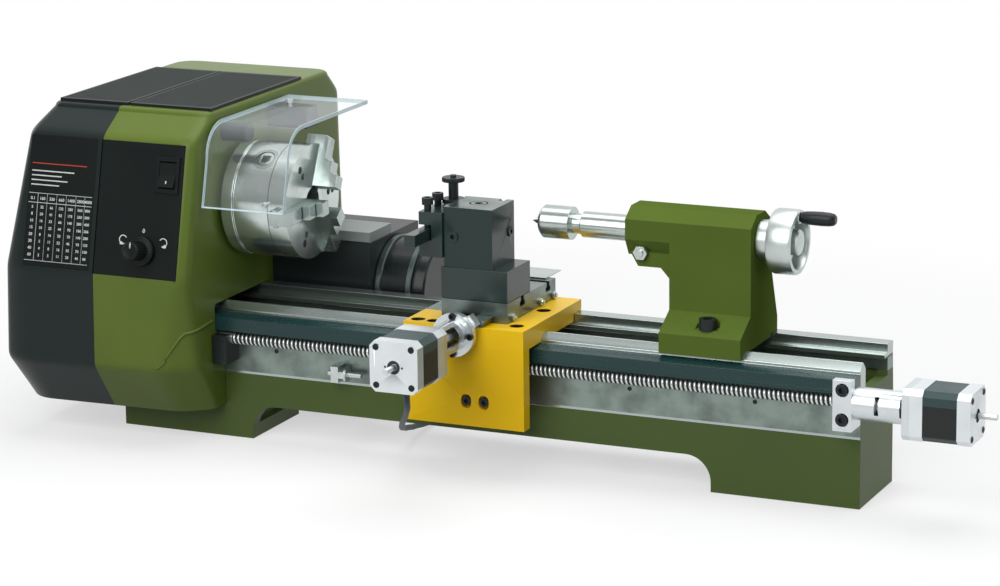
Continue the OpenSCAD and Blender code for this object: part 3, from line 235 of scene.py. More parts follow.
@dataclass(frozen=True)
class Painted:
    """Paint or moulded gloss with a faint orange peel, dust and colour drift."""

    name: str
    colour: str
    dark: str
    rough: float = 0.32
    peel: float = 0.03
    peel_size: float = 2.2
    coat: float = 0.0
    shine: float = 0.3
    metallic: float = 0.0

    def coat_of(self, shade: Shade) -> tuple[Val, Val, Val]:
        """Colour, roughness and normal of the paint in a shade."""
        x, y, z = shade.point()
        here = shade.vector(x, y, z)
        drift = shade.noise(here, 0.012, 2.0)
        speck = shade.noise(here, 0.6, 4.0)
        colour = shade.mix((drift - 0.35) * 1.3, srgb(self.colour), srgb(self.dark))
        rough = self.rough + (speck - 0.5) * 0.16
        normal = shade.bump(shade.noise(here, 1.0 / self.peel_size, 2.0), self.peel)
        return colour, rough, normal

    def build(self) -> bpy.types.Material:
        """Makes the material."""
        shade = Shade(self.name)
        colour, rough, normal = self.coat_of(shade)
        return shade.finish(base_color=colour, roughness=rough, normal=normal,
                            coat_weight=self.coat, coat_roughness=0.12,
                            specular_ior_level=self.shine)


@dataclass(frozen=True)
class Machined:
    """Bare metal with the fine marks of grinding, milling or turning."""

    name: str
    colour: str
    rough: float = 0.3
    grain: Grain = Grain.ALONG_X
    depth: float = 0.02
    stain: float = 0.25
    centre: tuple[float, float] = (0.0, AXIS_Z)
    metallic: float = 0.92
    mottle: float = 1.0

    def coat_of(self, shade: Shade) -> tuple[Val, Val, Val]:
        """Colour, roughness and normal of the metal in a shade."""
        x, y, z = shade.point()
        if self.grain is Grain.TURNED_X:
            dy, dz = y - self.centre[0], z - self.centre[1]
            marks = shade.noise(shade.vector(x * 2.2, dy.hypot(dz) * 2.2, 0.0), 1.0, 3.0)
        else:
            sx, sy, sz = self.grain.value
            marks = shade.noise(shade.vector(x * sx, y * sy, z * sz), 1.0, 3.0)
        patches = shade.noise(shade.vector(x, y, z), 0.045, 4.0)
        fresh = srgb(self.colour)
        worn = tuple(c * (1.0 - self.stain) for c in fresh)
        colour = shade.mix((patches - 0.4) * (1.8 * self.mottle) + (marks - 0.5) * 0.3,
                           fresh, worn)
        rough = self.rough + (marks - 0.5) * 0.1 + (patches - 0.5) * (0.2 * self.mottle)
        return colour, rough, shade.bump(marks, self.depth)

    def build(self) -> bpy.types.Material:
        """Makes the material."""
        shade = Shade(self.name)
        colour, rough, normal = self.coat_of(shade)
        return shade.finish(base_color=colour, roughness=rough, normal=normal,
                            metallic=self.metallic)


@dataclass(frozen=True)
class Layered:
    """A finish with others over it, each where its mask is 1."""

    name: str
    under: Painted | Machined
    over: tuple[tuple[Painted | Machined, Callable[[Val, Val, Val], Val]], ...]

    def build(self) -> bpy.types.Material:
        """Makes the material; a mask is worked out from x, y and z in millimetres."""
        shade = Shade(self.name)
        colour, rough, normal = self.under.coat_of(shade)
        metal = self.under.metallic
        for finish, where in self.over:
            mask = where(*shade.point())
            top_colour, top_rough, top_normal = finish.coat_of(shade)
            colour = shade.mix(mask, colour, top_colour)
            rough = rough * (1 - mask) + top_rough * mask
            metal = (1 - mask) * metal + mask * finish.metallic
            if isinstance(finish, Machined):
                normal = top_normal
        return shade.finish(base_color=colour, metallic=metal, roughness=rough, normal=normal,
                            specular_ior_level=0.35)


@dataclass(frozen=True)
class ClearSheet:
    """Clear acrylic: almost unseen face on, with a painted pale sheen at a flat angle, and pale at
    its cut edges.
    """

    name: str
    colour: str
    edge: Callable[[Val, Val, Val], Val]
    alpha: float = 0.02

    def build(self) -> bpy.types.Material:
        """Makes the material; edge gives 1 on the sheet's cut edges."""
        shade = Shade(self.name)
        x, y, z = shade.point()
        facing = shade.make("ShaderNodeLayerWeight", None, {"Blend": 0.3}, "Facing")
        film = shade.noise(shade.vector(x, y, z), 0.03, 3.0)
        cut = self.edge(x, y, z)
        # The pale colour shows more at a flat angle: a painted sheen that stands in for reflection.
        alpha = self.alpha + facing * 0.24 + (film - 0.5) * 0.03 + cut * 0.75
        colour = shade.mix(cut, srgb(self.colour), srgb("d6ecf4"))
        return shade.finish(base_color=colour, roughness=0.06 + film * 0.05 + cut * 0.2,
                            alpha=alpha)


@dataclass(frozen=True)
class StepperCase:
    """Aluminium caps, a laminated stack between them and a black label on its side.

    start is the front face's place on the motor's axis, and way the sign of the
    direction from the mounting plate to the free end. On that end a ring between two
    radii and two dots at one distance from the axis are painted dark, as painted shade
    in its recesses.
    """

    name: str
    axis: int
    start: float
    way: float
    centre: tuple[float, float]
    cap: float = 11.0
    length: float = 50.0
    label: tuple[float, float] = (-17.0, 9.0)
    ring: tuple[float, float] = (2.7, 5.6)
    dots: float = 7.5

    def build(self) -> bpy.types.Material:
        """Makes the material."""
        shade = Shade(self.name)
        point = shade.point()
        along = (point[self.axis] - self.start) * self.way
        across = [point[i] for i in range(3) if i != self.axis]
        u, v = across[0] - self.centre[0], across[1] - self.centre[1]
        metal = Machined(self.name, "dfe5e7", 0.36, Grain.CAST, 0.03, 0.12)
        colour, rough, normal = metal.coat_of(shade)
        stack = along.between(self.cap, self.length - self.cap)
        layers = (along * 2.0).fract() > 0.5
        sheet = shade.mix(layers, srgb("26393a"), srgb("304a4a"))
        sheet = shade.mix(v.between(*self.label), sheet, srgb("0c0e0f"))
        body = shade.mix(stack, colour, sheet)
        end = along > self.length - 3.5
        aside = (u * u).sqrt() - self.dots
        spots = (aside * aside + v * v) < 0.9
        # The ring and the two dots on the free end are painted dark: painted shade in recesses.
        hollow_shade = end * (u.hypot(v).between(*self.ring) + spots > 0.5)
        body = shade.mix(hollow_shade, body, srgb("252b2d"))
        return shade.finish(base_color=body, metallic=0.85 - (stack + hollow_shade) * 0.7,
                            roughness=rough + stack * 0.08, normal=normal)


class Finishes:
    """All finishes, built once and handed out by name."""

    GREEN_BED = Painted("bed_green", "4a5d28", "425323", 0.48, 0.05, 3.0, 0.0, 0.15)
    GREEN_HOOD = Painted("hood_green", "62752f", "596b2b", 0.36, 0.012, 1.4, 0.05, 0.18)
    TAIL_GREEN = Painted("tailstock_green", "5f7332", "56692d", 0.62, 0.03, 2.5, 0.0, 0.0)
    COVER = Painted("cover_dark", "1c2725", "17201f", 0.36, 0.012, 1.4, 0.0, 0.22)
    YELLOW = Painted("carriage_yellow", "fccd0f", "f2bd0c", 0.38, 0.02, 2.5, 0.1, 0.2)
    BLACK = Painted("black_oxide", "1d2325", "14181a", 0.34, 0.02, 1.2)
    PANEL = Painted("panel_black", "161b1a", "111515", 0.42, 0.01, 0.8, 0.0, 0.15)
    VENT = Painted("vent_grey", "1f2a27", "18211f", 0.55, 0.02, 1.2, 0.0, 0.12)
    # Near-black for the vent slots: painted shade.
    GROOVE = Painted("painted_slot_shade", "0b0e0e", "080a0a", 0.6, 0.0, 1.2)
    TEAL = Painted("post_teal", "1f3431", "152523", 0.24, 0.008, 1.6, 0.0, 0.5)
    # Dark teal for the front way's flank: a painted reflection of dark surroundings.
    FLANK = Painted("flank_painted_reflection", "1d3d3d", "152f30", 0.28, 0.01, 1.6, 0.0, 0.35)
    DRUM = Painted("motor_black", "0e1516", "0a0f10", 0.24, 0.01, 2.0, 0.2, 0.4)
    LID = Painted("lid_grey", "87918d", "79837f", 0.4, 0.03, 2.0)
    RUBBER = Painted("rubber", "1b1b1b", "131313", 0.6, 0.02, 1.0)
    CABLE = Painted("cable_jacket", "33414a", "2a353c", 0.5, 0.01, 1.0)
    WHITE = Painted("plug_white", "dfe1dc", "d2d4ce", 0.45, 0.01, 1.0)
    # Near-black for the inside of the saddle's holes: painted shade.
    HOLE = Painted("painted_hole_shade", "15120a", "0d0b07", 0.5, 0.0, 1.0)
    # Near-black for thread roots, the chuck's seam, the ring round its pinion and its screw holes:
    # painted shade in recesses.
    ROOT = Painted("painted_recess_shade", "14191a", "0e1112", 0.5, 0.0, 1.0)
    MILKY = Painted("guard_screw_pale", "cfd8da", "bcc6c9", 0.3, 0.01, 1.0)
    GROUND_X = Machined("ground_along_bed", "aab4b1", 0.22, Grain.ALONG_X, 0.002, 0.25, mottle=0.25)
    SLIDE = Machined("slide_steel", "788581", 0.3, Grain.ALONG_Y, 0.012, 0.5)
    TURNED = Machined("turned_steel", "bcc5c2", 0.2, Grain.TURNED_X, 0.008, 0.3)
    BODY = Machined("chuck_steel", "cbd5d2", 0.2, Grain.TURNED_X, 0.006, 0.35)
    JAW = Machined("jaw_steel", "b0bbb8", 0.24, Grain.CAST, 0.008, 0.4)
    SHEET = Machined("sheet_metal", "bcc4c3", 0.24, Grain.ALONG_Y, 0.006, 0.12)
    ALLOY = Machined("machined_alloy", "d3d9db", 0.33, Grain.CAST, 0.015, 0.12)
    IRON = Machined("cast_iron", "6f7775", 0.5, Grain.CAST, 0.06, 0.3)
    BRONZE = Machined("bronze", "b08f56", 0.34, Grain.ALONG_X, 0.015, 0.25)
    STRIP = Machined("machined_strip", "86938d", 0.34, Grain.ALONG_X, 0.01, 0.65, mottle=1.3)
    THREAD = Machined("thread_crest", "d3d9d7", 0.28, Grain.CAST, 0.01, 0.3)
    WHEEL = Machined("wheel_alloy", "c3ccc9", 0.32, Grain.TURNED_X, 0.01, 0.2)
    STOP = Machined("stop_steel", "c9d1cf", 0.34, Grain.CAST, 0.02, 0.25)
    CLEAR = ClearSheet("clear_acrylic", "eef6f8", lambda x, y, z: (
        (x < -235.4) + (x > -158.6) + (z < 211.6) + (y > 83.5)) > 0.5)
    CHUCK = Layered("chuck_metal", BODY, (
        # Near-black painted shade in the seam between backplate and body, the ring round the pinion
        # and the three screw holes.
        (ROOT, lambda x, y, z: x.between(-189.0, -188.4)),
        (JAW, lambda x, y, z: Chuck.from_key(x, y, z).between(8.0, 11.8)),
        (ROOT, lambda x, y, z: Chuck.from_key(x, y, z).between(7.8, 8.5)),
        (ROOT, lambda x, y, z: (x > -171.4) * Chuck.in_bolt(y, z)),
    ))

    def __init__(self) -> None:
        """Starts with no material made."""
        self._made: dict[str, bpy.types.Material] = {}

    def of(self, finish) -> bpy.types.Material:
        """The material of a finish, which is made on its first use."""
        if finish.name not in self._made:
            self._made[finish.name] = finish.build()
        return self._made[finish.name]


FINISHES = Finishes()


def in_circles(u: Val, v: Val, centres: Iterable[tuple[float, float]], radius: float) -> Val:
    """1 inside circles of one radius round some centres, and 0 elsewhere."""
    spots = [(u - a) * (u - a) + (v - b) * (v - b) < radius ** 2 for a, b in centres]
    return sum(spots[1:], spots[0]) > 0.5


# Surfaces


def placed(name: str, data: bpy.types.ID) -> bpy.types.Object:
    """Makes an object of a mesh, curve, camera or lamp, and puts it in the scene."""
    made = bpy.data.objects.new(name, data)
    bpy.context.scene.collection.objects.link(made)
    return made


@contextmanager
def edited(mesh: bpy.types.Mesh) -> Iterator[bmesh.types.BMesh]:
    """Opens a mesh for bmesh's operators, and writes it back."""
    work = bmesh.new()
    work.from_mesh(mesh)
    try:
        yield work
        work.to_mesh(mesh)
    finally:
        work.free()


def mesh_object(name: str, points: np.ndarray, faces: np.ndarray) -> bpy.types.Object:
    """Makes an object of quads or triangles.

    Args:
        name: the object's name.
        points: vertices in millimetres, one row each.
        faces: vertex numbers, one row of 3 or 4 for each face.

    Returns:
        The new object, at the origin.
    """
    mesh = bpy.data.meshes.new(name)
    count, corners = faces.shape
    mesh.vertices.add(len(points))
    mesh.vertices.foreach_set("co", (points * MM).astype(np.float32).ravel())
    mesh.loops.add(count * corners)
    mesh.loops.foreach_set("vertex_index", faces.astype(np.int32).ravel())
    mesh.polygons.add(count)
    mesh.polygons.foreach_set("loop_start", np.arange(0, count * corners, corners, dtype=np.int32))
    mesh.update(calc_edges=True)
    return placed(name, mesh)


def joined(name: str, parts: Iterable[tuple[np.ndarray, np.ndarray]]) -> bpy.types.Object:
    """Makes one object of several sets of points and faces."""
    points, faces, count = [], [], 0
    for corners, sides in parts:
        points.append(corners)
        faces.append(sides + count)
        count += len(corners)
    return mesh_object(name, np.concatenate(points), np.concatenate(faces))


def grid_faces(rows: int, columns: int, wrap: bool) -> np.ndarray:
    """Quads of a grid of rows and columns of vertices, closed round each row if wrap."""
    i, j = np.meshgrid(np.arange(rows - 1), np.arange(columns if wrap else columns - 1),
                       indexing="ij")
    k = (j + 1) % columns
    return np.stack([i * columns + j, i * columns + k, (i + 1) * columns + k,
                     (i + 1) * columns + j], -1).reshape(-1, 4)


def surface(name: str, points: np.ndarray, wrap: bool = True,
            smooth: float = 35.0) -> bpy.types.Object:
    """Makes a piece from a grid of points.

    Args:
        name: the object's name.
        points: an array of rows, columns and three coordinates in millimetres.
        wrap: whether each row closes on itself.
        smooth: the angle in degrees up to which edges are shaded smooth.

    Returns:
        The object, with double points merged and its faces outwards.
    """
    rows, columns = points.shape[:2]
    made = mesh_object(name, points.reshape(-1, 3), grid_faces(rows, columns, wrap))
    tidy(made, smooth)
    return made


def tidy(made: bpy.types.Object, smooth: float) -> None:
    """Merges double points, turns the faces outwards and shades smooth up to an angle."""
    with edited(made.data) as work:
        bmesh.ops.remove_doubles(work, verts=work.verts, dist=MERGE)
        bmesh.ops.recalc_face_normals(work, faces=work.faces)
    made.data.shade_smooth()
    made.data.set_sharp_from_angle(angle=math.radians(smooth))


def rings_along(path: np.ndarray, up: Sequence[float], radius: float | np.ndarray,
                sides: int) -> np.ndarray:
    """Rings of a round bar: radius * (cos a * s + sin a * t) about each point of a path.

    Args:
        path: points in millimetres, one row each.
        up: a direction that the path never takes; s is square to it and to the path.
        radius: one radius, or one for each point.
        sides: how many points a ring has.

    Returns:
        An array of rings, points and three coordinates.
    """
    step = np.gradient(path, axis=0)
    w = step / np.linalg.norm(step, axis=1, keepdims=True)
    s = np.cross(np.array(up), w)
    s /= np.linalg.norm(s, axis=1, keepdims=True)
    t = np.cross(w, s)
    a = np.linspace(0, 2 * np.pi, sides, endpoint=False)[None, :, None]
    return path[:, None] + radius * (np.cos(a) * s[:, None] + np.sin(a) * t[:, None])


@dataclass(frozen=True)
class Axis:
    """A line that things are turned about: its direction and a point on it."""

    along: tuple[float, float, float]
    at: tuple[float, float, float]

    def frame(self) -> tuple[np.ndarray, np.ndarray, np.ndarray, np.ndarray]:
        """Point, direction and two unit vectors square to it."""
        w = np.array(self.along, float)
        w /= np.linalg.norm(w)
        u = np.cross([0.0, 0.0, 1.0] if abs(w[2]) < 0.9 else [1.0, 0.0, 0.0], w)
        u /= np.linalg.norm(u)
        return np.array(self.at, float), w, u, np.cross(w, u)


def turned(name: str, axis: Axis, profile: Sequence[tuple[float, float]], sides: int = 96,
           ripple: Callable[[np.ndarray, np.ndarray], np.ndarray] | None = None,
           smooth: float = 35.0) -> bpy.types.Object:
    """Turns a profile about an axis.

    A point is at + s * along + r * (cos a * u + sin a * v), with s and r from the
    profile and a round the axis; ripple(s, a) is added to r where it is given.

    Args:
        name: the object's name.
        axis: the line it is turned about.
        profile: pairs of place along the axis and radius, in millimetres.
        sides: how many steps go round.
        ripple: a change of the radius, for knurls and flutes.
        smooth: the angle in degrees up to which edges are shaded smooth.

    Returns:
        The object.
    """
    at, w, u, v = axis.frame()
    s, r = np.array(profile, float).T
    a = np.linspace(0, 2 * np.pi, sides, endpoint=False)
    s_grid, a_grid = np.meshgrid(s, a, indexing="ij")
    r_grid = np.repeat(r[:, None], sides, 1)
    if ripple is not None:
        r_grid = r_grid + ripple(s_grid, a_grid)
    points = (at + s_grid[..., None] * w
              + r_grid[..., None] * (np.cos(a_grid)[..., None] * u + np.sin(a_grid)[..., None] * v))
    return surface(name, points, True, smooth)


def softened(node: str, width: float, segments: int = 2, angle: float = 32.0) -> bpy.types.Object:
    """A copy of a node's mesh with its sharp edges rounded.

    Args:
        node: the node's name.
        width: the rounding in millimetres.
        segments: steps over each rounding.
        angle: the angle in degrees from which an edge counts as sharp.

    Returns:
        The copy, which stands for the node.
    """
    made = placed(node + "_soft", frame["nodes"][node].data.copy())
    with edited(made.data) as work:
        bmesh.ops.remove_doubles(work, verts=work.verts, dist=MERGE)
        bmesh.ops.dissolve_limit(work, angle_limit=math.radians(0.6), verts=work.verts,
                                 edges=work.edges)
    made.data.shade_smooth()
    made.data.set_sharp_from_angle(angle=math.radians(angle))
    bevel = made.modifiers.new("rounding", "BEVEL")
    bevel.width = width * MM
    bevel.segments = segments
    bevel.limit_method = "ANGLE"
    bevel.angle_limit = math.radians(angle)
    bevel.use_clamp_overlap = True
    bevel.harden_normals = True
    return made


class Dresser:
    """Gives pieces their finish and body, and reports each one."""

    def __init__(self) -> None:
        """Looks up each node's body and material slot in the record."""
        record = frame["record"]
        self.slots = {s["node"]: s["material_slot"] for s in record["subparts"]}
        self.bodies = {n: b for b, nodes in record["behaviour"]["bodies"].items() for n in nodes}

    def coat(self, node: str, finish) -> None:
        """Gives a node that stays as it is a finish."""
        self.paint(frame["nodes"][node], finish)
        LOG.info("node %s: %s", node, finish.name)

    def paint(self, made: bpy.types.Object, *finishes) -> None:
        """Gives an object one material or more, in slot order."""
        made.data.materials.clear()
        for finish in finishes:
            made.data.materials.append(FINISHES.of(finish))

    def stand(self, made: bpy.types.Object, node: str, *finishes, instead: bool = True) -> None:
        """Puts a piece on a node's body in place of the node, or beside it.

        Args:
            made: the piece.
            node: the node that it replaces or rides with.
            finishes: its finish, or more in slot order.
            instead: whether it replaces the node.
        """
        self.paint(made, *finishes)
        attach(made, self.bodies[node])
        if instead:
            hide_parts(node)
        LOG.info("piece %s on %s: %s", made.name, node, finishes[0].name)

    def soft(self, node: str, finish, width: float, segments: int = 2) -> None:
        """Replaces a node by its softened copy."""
        self.stand(softened(node, width, segments), node, finish)

    def soften(self, *rows: tuple) -> None:
        """Replaces nodes by softened copies; each row holds what soft takes."""
        for row in rows:
            self.soft(*row)

    def studs(self, name: str, node: str, axis: Axis, reach: float, start: float,
              radius: float = 2.7, height: float = 0.6) -> None:
        """Four socket screws round an axis, on a face, a quarter turn apart.

        Args:
            name: the pieces' common name.
            node: the node they sit on.
            axis: the line they stand round, outwards from the face.
            reach: their distance from it in millimetres.
            start: the first one's angle in degrees.
            radius: the heads' radius.
            height: how far they stand out.
        """
        at, _, u, v = axis.frame()
        profile = [(-0.2, 0), (-0.2, radius), (height - 0.25, radius), (height, radius - 0.3),
                   (height, radius * 0.55), (0.12, radius * 0.5), (0.12, 0)]
        for i in range(4):
            a = math.radians(start + 90 * i)
            centre = at + reach * (math.cos(a) * u + math.sin(a) * v)
            head = turned(f"{name}_{i + 1}", Axis(axis.along, tuple(centre)), profile, 24)
            self.stand(head, node, Finishes.BLACK, instead=False)


# Sub-assemblies


@dataclass
class Studio:
    """Camera of the photograph, floor, world and lamps."""

    place: tuple[float, float, float] = (1157.5, -2551.1, 820.4)
    right: tuple[float, float, float] = (0.91244893, 0.40903713, -0.01120605)
    up: tuple[float, float, float] = (-0.07799252, 0.20073316, 0.97653641)
    back: tuple[float, float, float] = (0.40168908, -0.89016562, 0.21506059)
    focal: float = 3.40105
    lower: float = -0.0738

    def camera(self) -> None:
        """Makes the camera from the directions of its own axes."""
        data = bpy.data.cameras.new("camera")
        data.sensor_width = 36.0
        data.lens = 36.0 * self.focal
        data.shift_y = self.lower
        data.clip_end = 50.0
        made = placed("camera", data)
        turn = Matrix((self.right, self.up, self.back)).transposed()
        made.matrix_world = Matrix.Translation(Vector(self.place) * MM) @ turn.to_4x4()
        bpy.context.scene.camera = made

    def floor(self) -> None:
        """Lays a wide floor: grey for the light it throws back, white for what is seen."""
        half, low = 9000.0, -0.4
        corners = np.array([[-half, -half, low], [half, -half, low], [half, half, low],
                            [-half, half, low]])
        made = mesh_object("floor", corners, np.array([[0, 1, 2, 3]]))
        shade = Shade("floor_white")
        x, y, _ = shade.point()
        seen = shade.rays("Camera") + shade.rays("Glossy") + shade.rays("Transmission") > 0.5
        shade.finish(base_color=shade.mix(seen, (0.12, 0.12, 0.12), (0.95, 0.95, 0.95)),
                     roughness=0.9, specular_ior_level=0.0)
        away = x.hypot(y).ramp(520.0, 950.0)
        glow = shade.make("ShaderNodeEmission", None, {0: (1.0, 1.0, 1.0), 1: 1.0})
        shade.feed(shade.nodes["Material Output"].inputs[0], shade.blend(
            (0.55 + away * 0.45) * seen, Val(shade, shade.bsdf.outputs[0]), glow))
        made.data.materials.append(shade.material)

    def world(self) -> None:
        """White for what is seen, dimmer for gloss towards the front, and a grey light."""
        world = bpy.data.worlds.new("studio")
        bpy.context.scene.world = world
        sky, white = Tree(world), (1.0, 1.0, 1.0)
        light = lambda colour, strength: sky.make(
            "ShaderNodeBackground", None, {"Color": colour, "Strength": strength})
        where = sky.make("ShaderNodeTexCoord", out="Generated")
        y = sky.make("ShaderNodeSeparateXYZ", None, {0: where}, "Y")
        seen = light(white, 1.0)
        last = light((0.92, 0.96, 1.0), 0.21)
        for kind, shader in (("Glossy", light(white, y.ramp(-0.75, 0.1, 0.2, 1.0))),
                             ("Transmission", seen), ("Camera", seen)):
            last = sky.blend(sky.rays(kind), last, shader)
        sky.feed(sky.nodes["World Output"].inputs[0], last)

    def lamp(self, name: str, place: Sequence[float], aim: Sequence[float], size: float,
             power: float) -> None:
        """Hangs a square soft lamp.

        Args:
            name: the lamp's name.
            place: where it hangs, in millimetres.
            aim: the point it looks at.
            size: its side in metres.
            power: its power in watts.
        """
        data = bpy.data.lights.new(name, "AREA")
        data.size = size
        data.energy = power
        made = placed(name, data)
        made.location = Vector(place) * MM
        made.rotation_euler = (Vector(aim) - Vector(place)).to_track_quat("-Z", "Y").to_euler()

    def build(self) -> None:
        """Makes the whole studio."""
        bpy.context.scene.view_settings.view_transform = "Standard"
        self.camera()
        self.floor()
        self.world()
        middle = (0.0, 0.0, 120.0)
        self.lamp("key_lamp", (-100.0, -2200.0, 1500.0), middle, 2.0, 46.0)
        self.lamp("top_lamp", (200.0, 300.0, 2100.0), middle, 2.0, 30.0)
        self.lamp("right_lamp", (2200.0, -500.0, 700.0), middle, 1.2, 3.0)
        self.lamp("left_lamp", (-2200.0, 300.0, 900.0), middle, 1.2, 9.0)


@dataclass
class Cable:
    """Motor cable, its coil and its connector."""

    diameter: float = 5.0
    coil_r: float = 33.0
    turns: int = 2
    low: float = 2.6
    at: tuple[float, float] = (-52.0, 146.0)
    route: list[tuple[float, float, float]] = field(default_factory=lambda: [
        (4.5, -182, 104.15), (4.5, -182, 98), (3, -178.5, 91), (-1, -169.5, 82.5), (-7, -159, 76),
        (-13, -148, 70), (-19, -137.5, 64), (-25.5, -127, 58.5), (-31.5, -116, 53.5),
        (-37.5, -105, 48.5), (-43, -94, 43.5), (-49, -82.5, 39), (-54.5, -71, 34.5),
        (-60, -59.5, 30.5), (-65, -47.5, 27), (-70, -35.5, 23), (-74, -23, 19), (-77, -10.5, 16),
        (-80, 2.5, 12.5), (-82.5, 15.5, 10), (-83.5, 28.5, 7.5), (-84.5, 42, 5.5), (-85, 55.5, 4),
        (-85, 69, 3), (-85, 82.5, 2.6), (-85, 96, 2.6), (-85, 109.5, 2.6), (-85, 134, 2.6),
        (-85, 140, 2.6)])

    def coil_path(self) -> np.ndarray:
        """Points of the coil: a layer that winds in and one on it that winds out."""
        pitch = self.diameter + 0.5
        middle, end = self.turns + 0.25, 2 * self.turns + 0.25
        t = np.arange(0, end + 1e-6, 1 / 24)
        radius = self.coil_r - pitch * np.where(t < middle, t, 2 * middle - t)
        a = np.radians(180 - 360 * t)
        z = self.low + pitch * np.clip((t - self.turns) * 2, 0, 1)
        loops = np.stack([self.at[0] + radius * np.cos(a), self.at[1] + radius * np.sin(a), z], -1)
        tail = loops[-1] + np.array([[8, 0, 0], [22, 0, 0], [32, 1, -1.6], [42, 1, -4],
                                     [50, 1, -4.5], [56, 1, -4.5]])
        start = [[self.at[0] - self.coil_r, 140.0, self.low]]
        return np.concatenate([start, loops, tail])

    def tube(self, name: str, path: np.ndarray, sides: int = 16) -> bpy.types.Object:
        """A round tube with closed ends, kept above the floor."""
        rings = rings_along(path, (0.0, 0.01, 1.0), self.diameter / 2, sides)
        rings[..., 2] = np.maximum(rings[..., 2], 0.02)
        ends = [np.repeat(path[:1, None], sides, 1), np.repeat(path[-1:, None], sides, 1)]
        return surface(name, np.concatenate([ends[0], rings, ends[1]]), True, 50.0)

    def build(self, dresser: Dresser) -> None:
        """Makes the free stretch, the coil and the connector."""
        route, coil = np.array(self.route, float), self.coil_path()
        dresser.soft("cable_plug", Finishes.WHITE, 0.4)
        free = self.tube("motor_cable_run", route)
        dresser.stand(free, "motor_cable", Finishes.CABLE)
        loops = self.tube("cable_coil_loops", coil)
        dresser.stand(loops, "cable_coil", Finishes.CABLE)


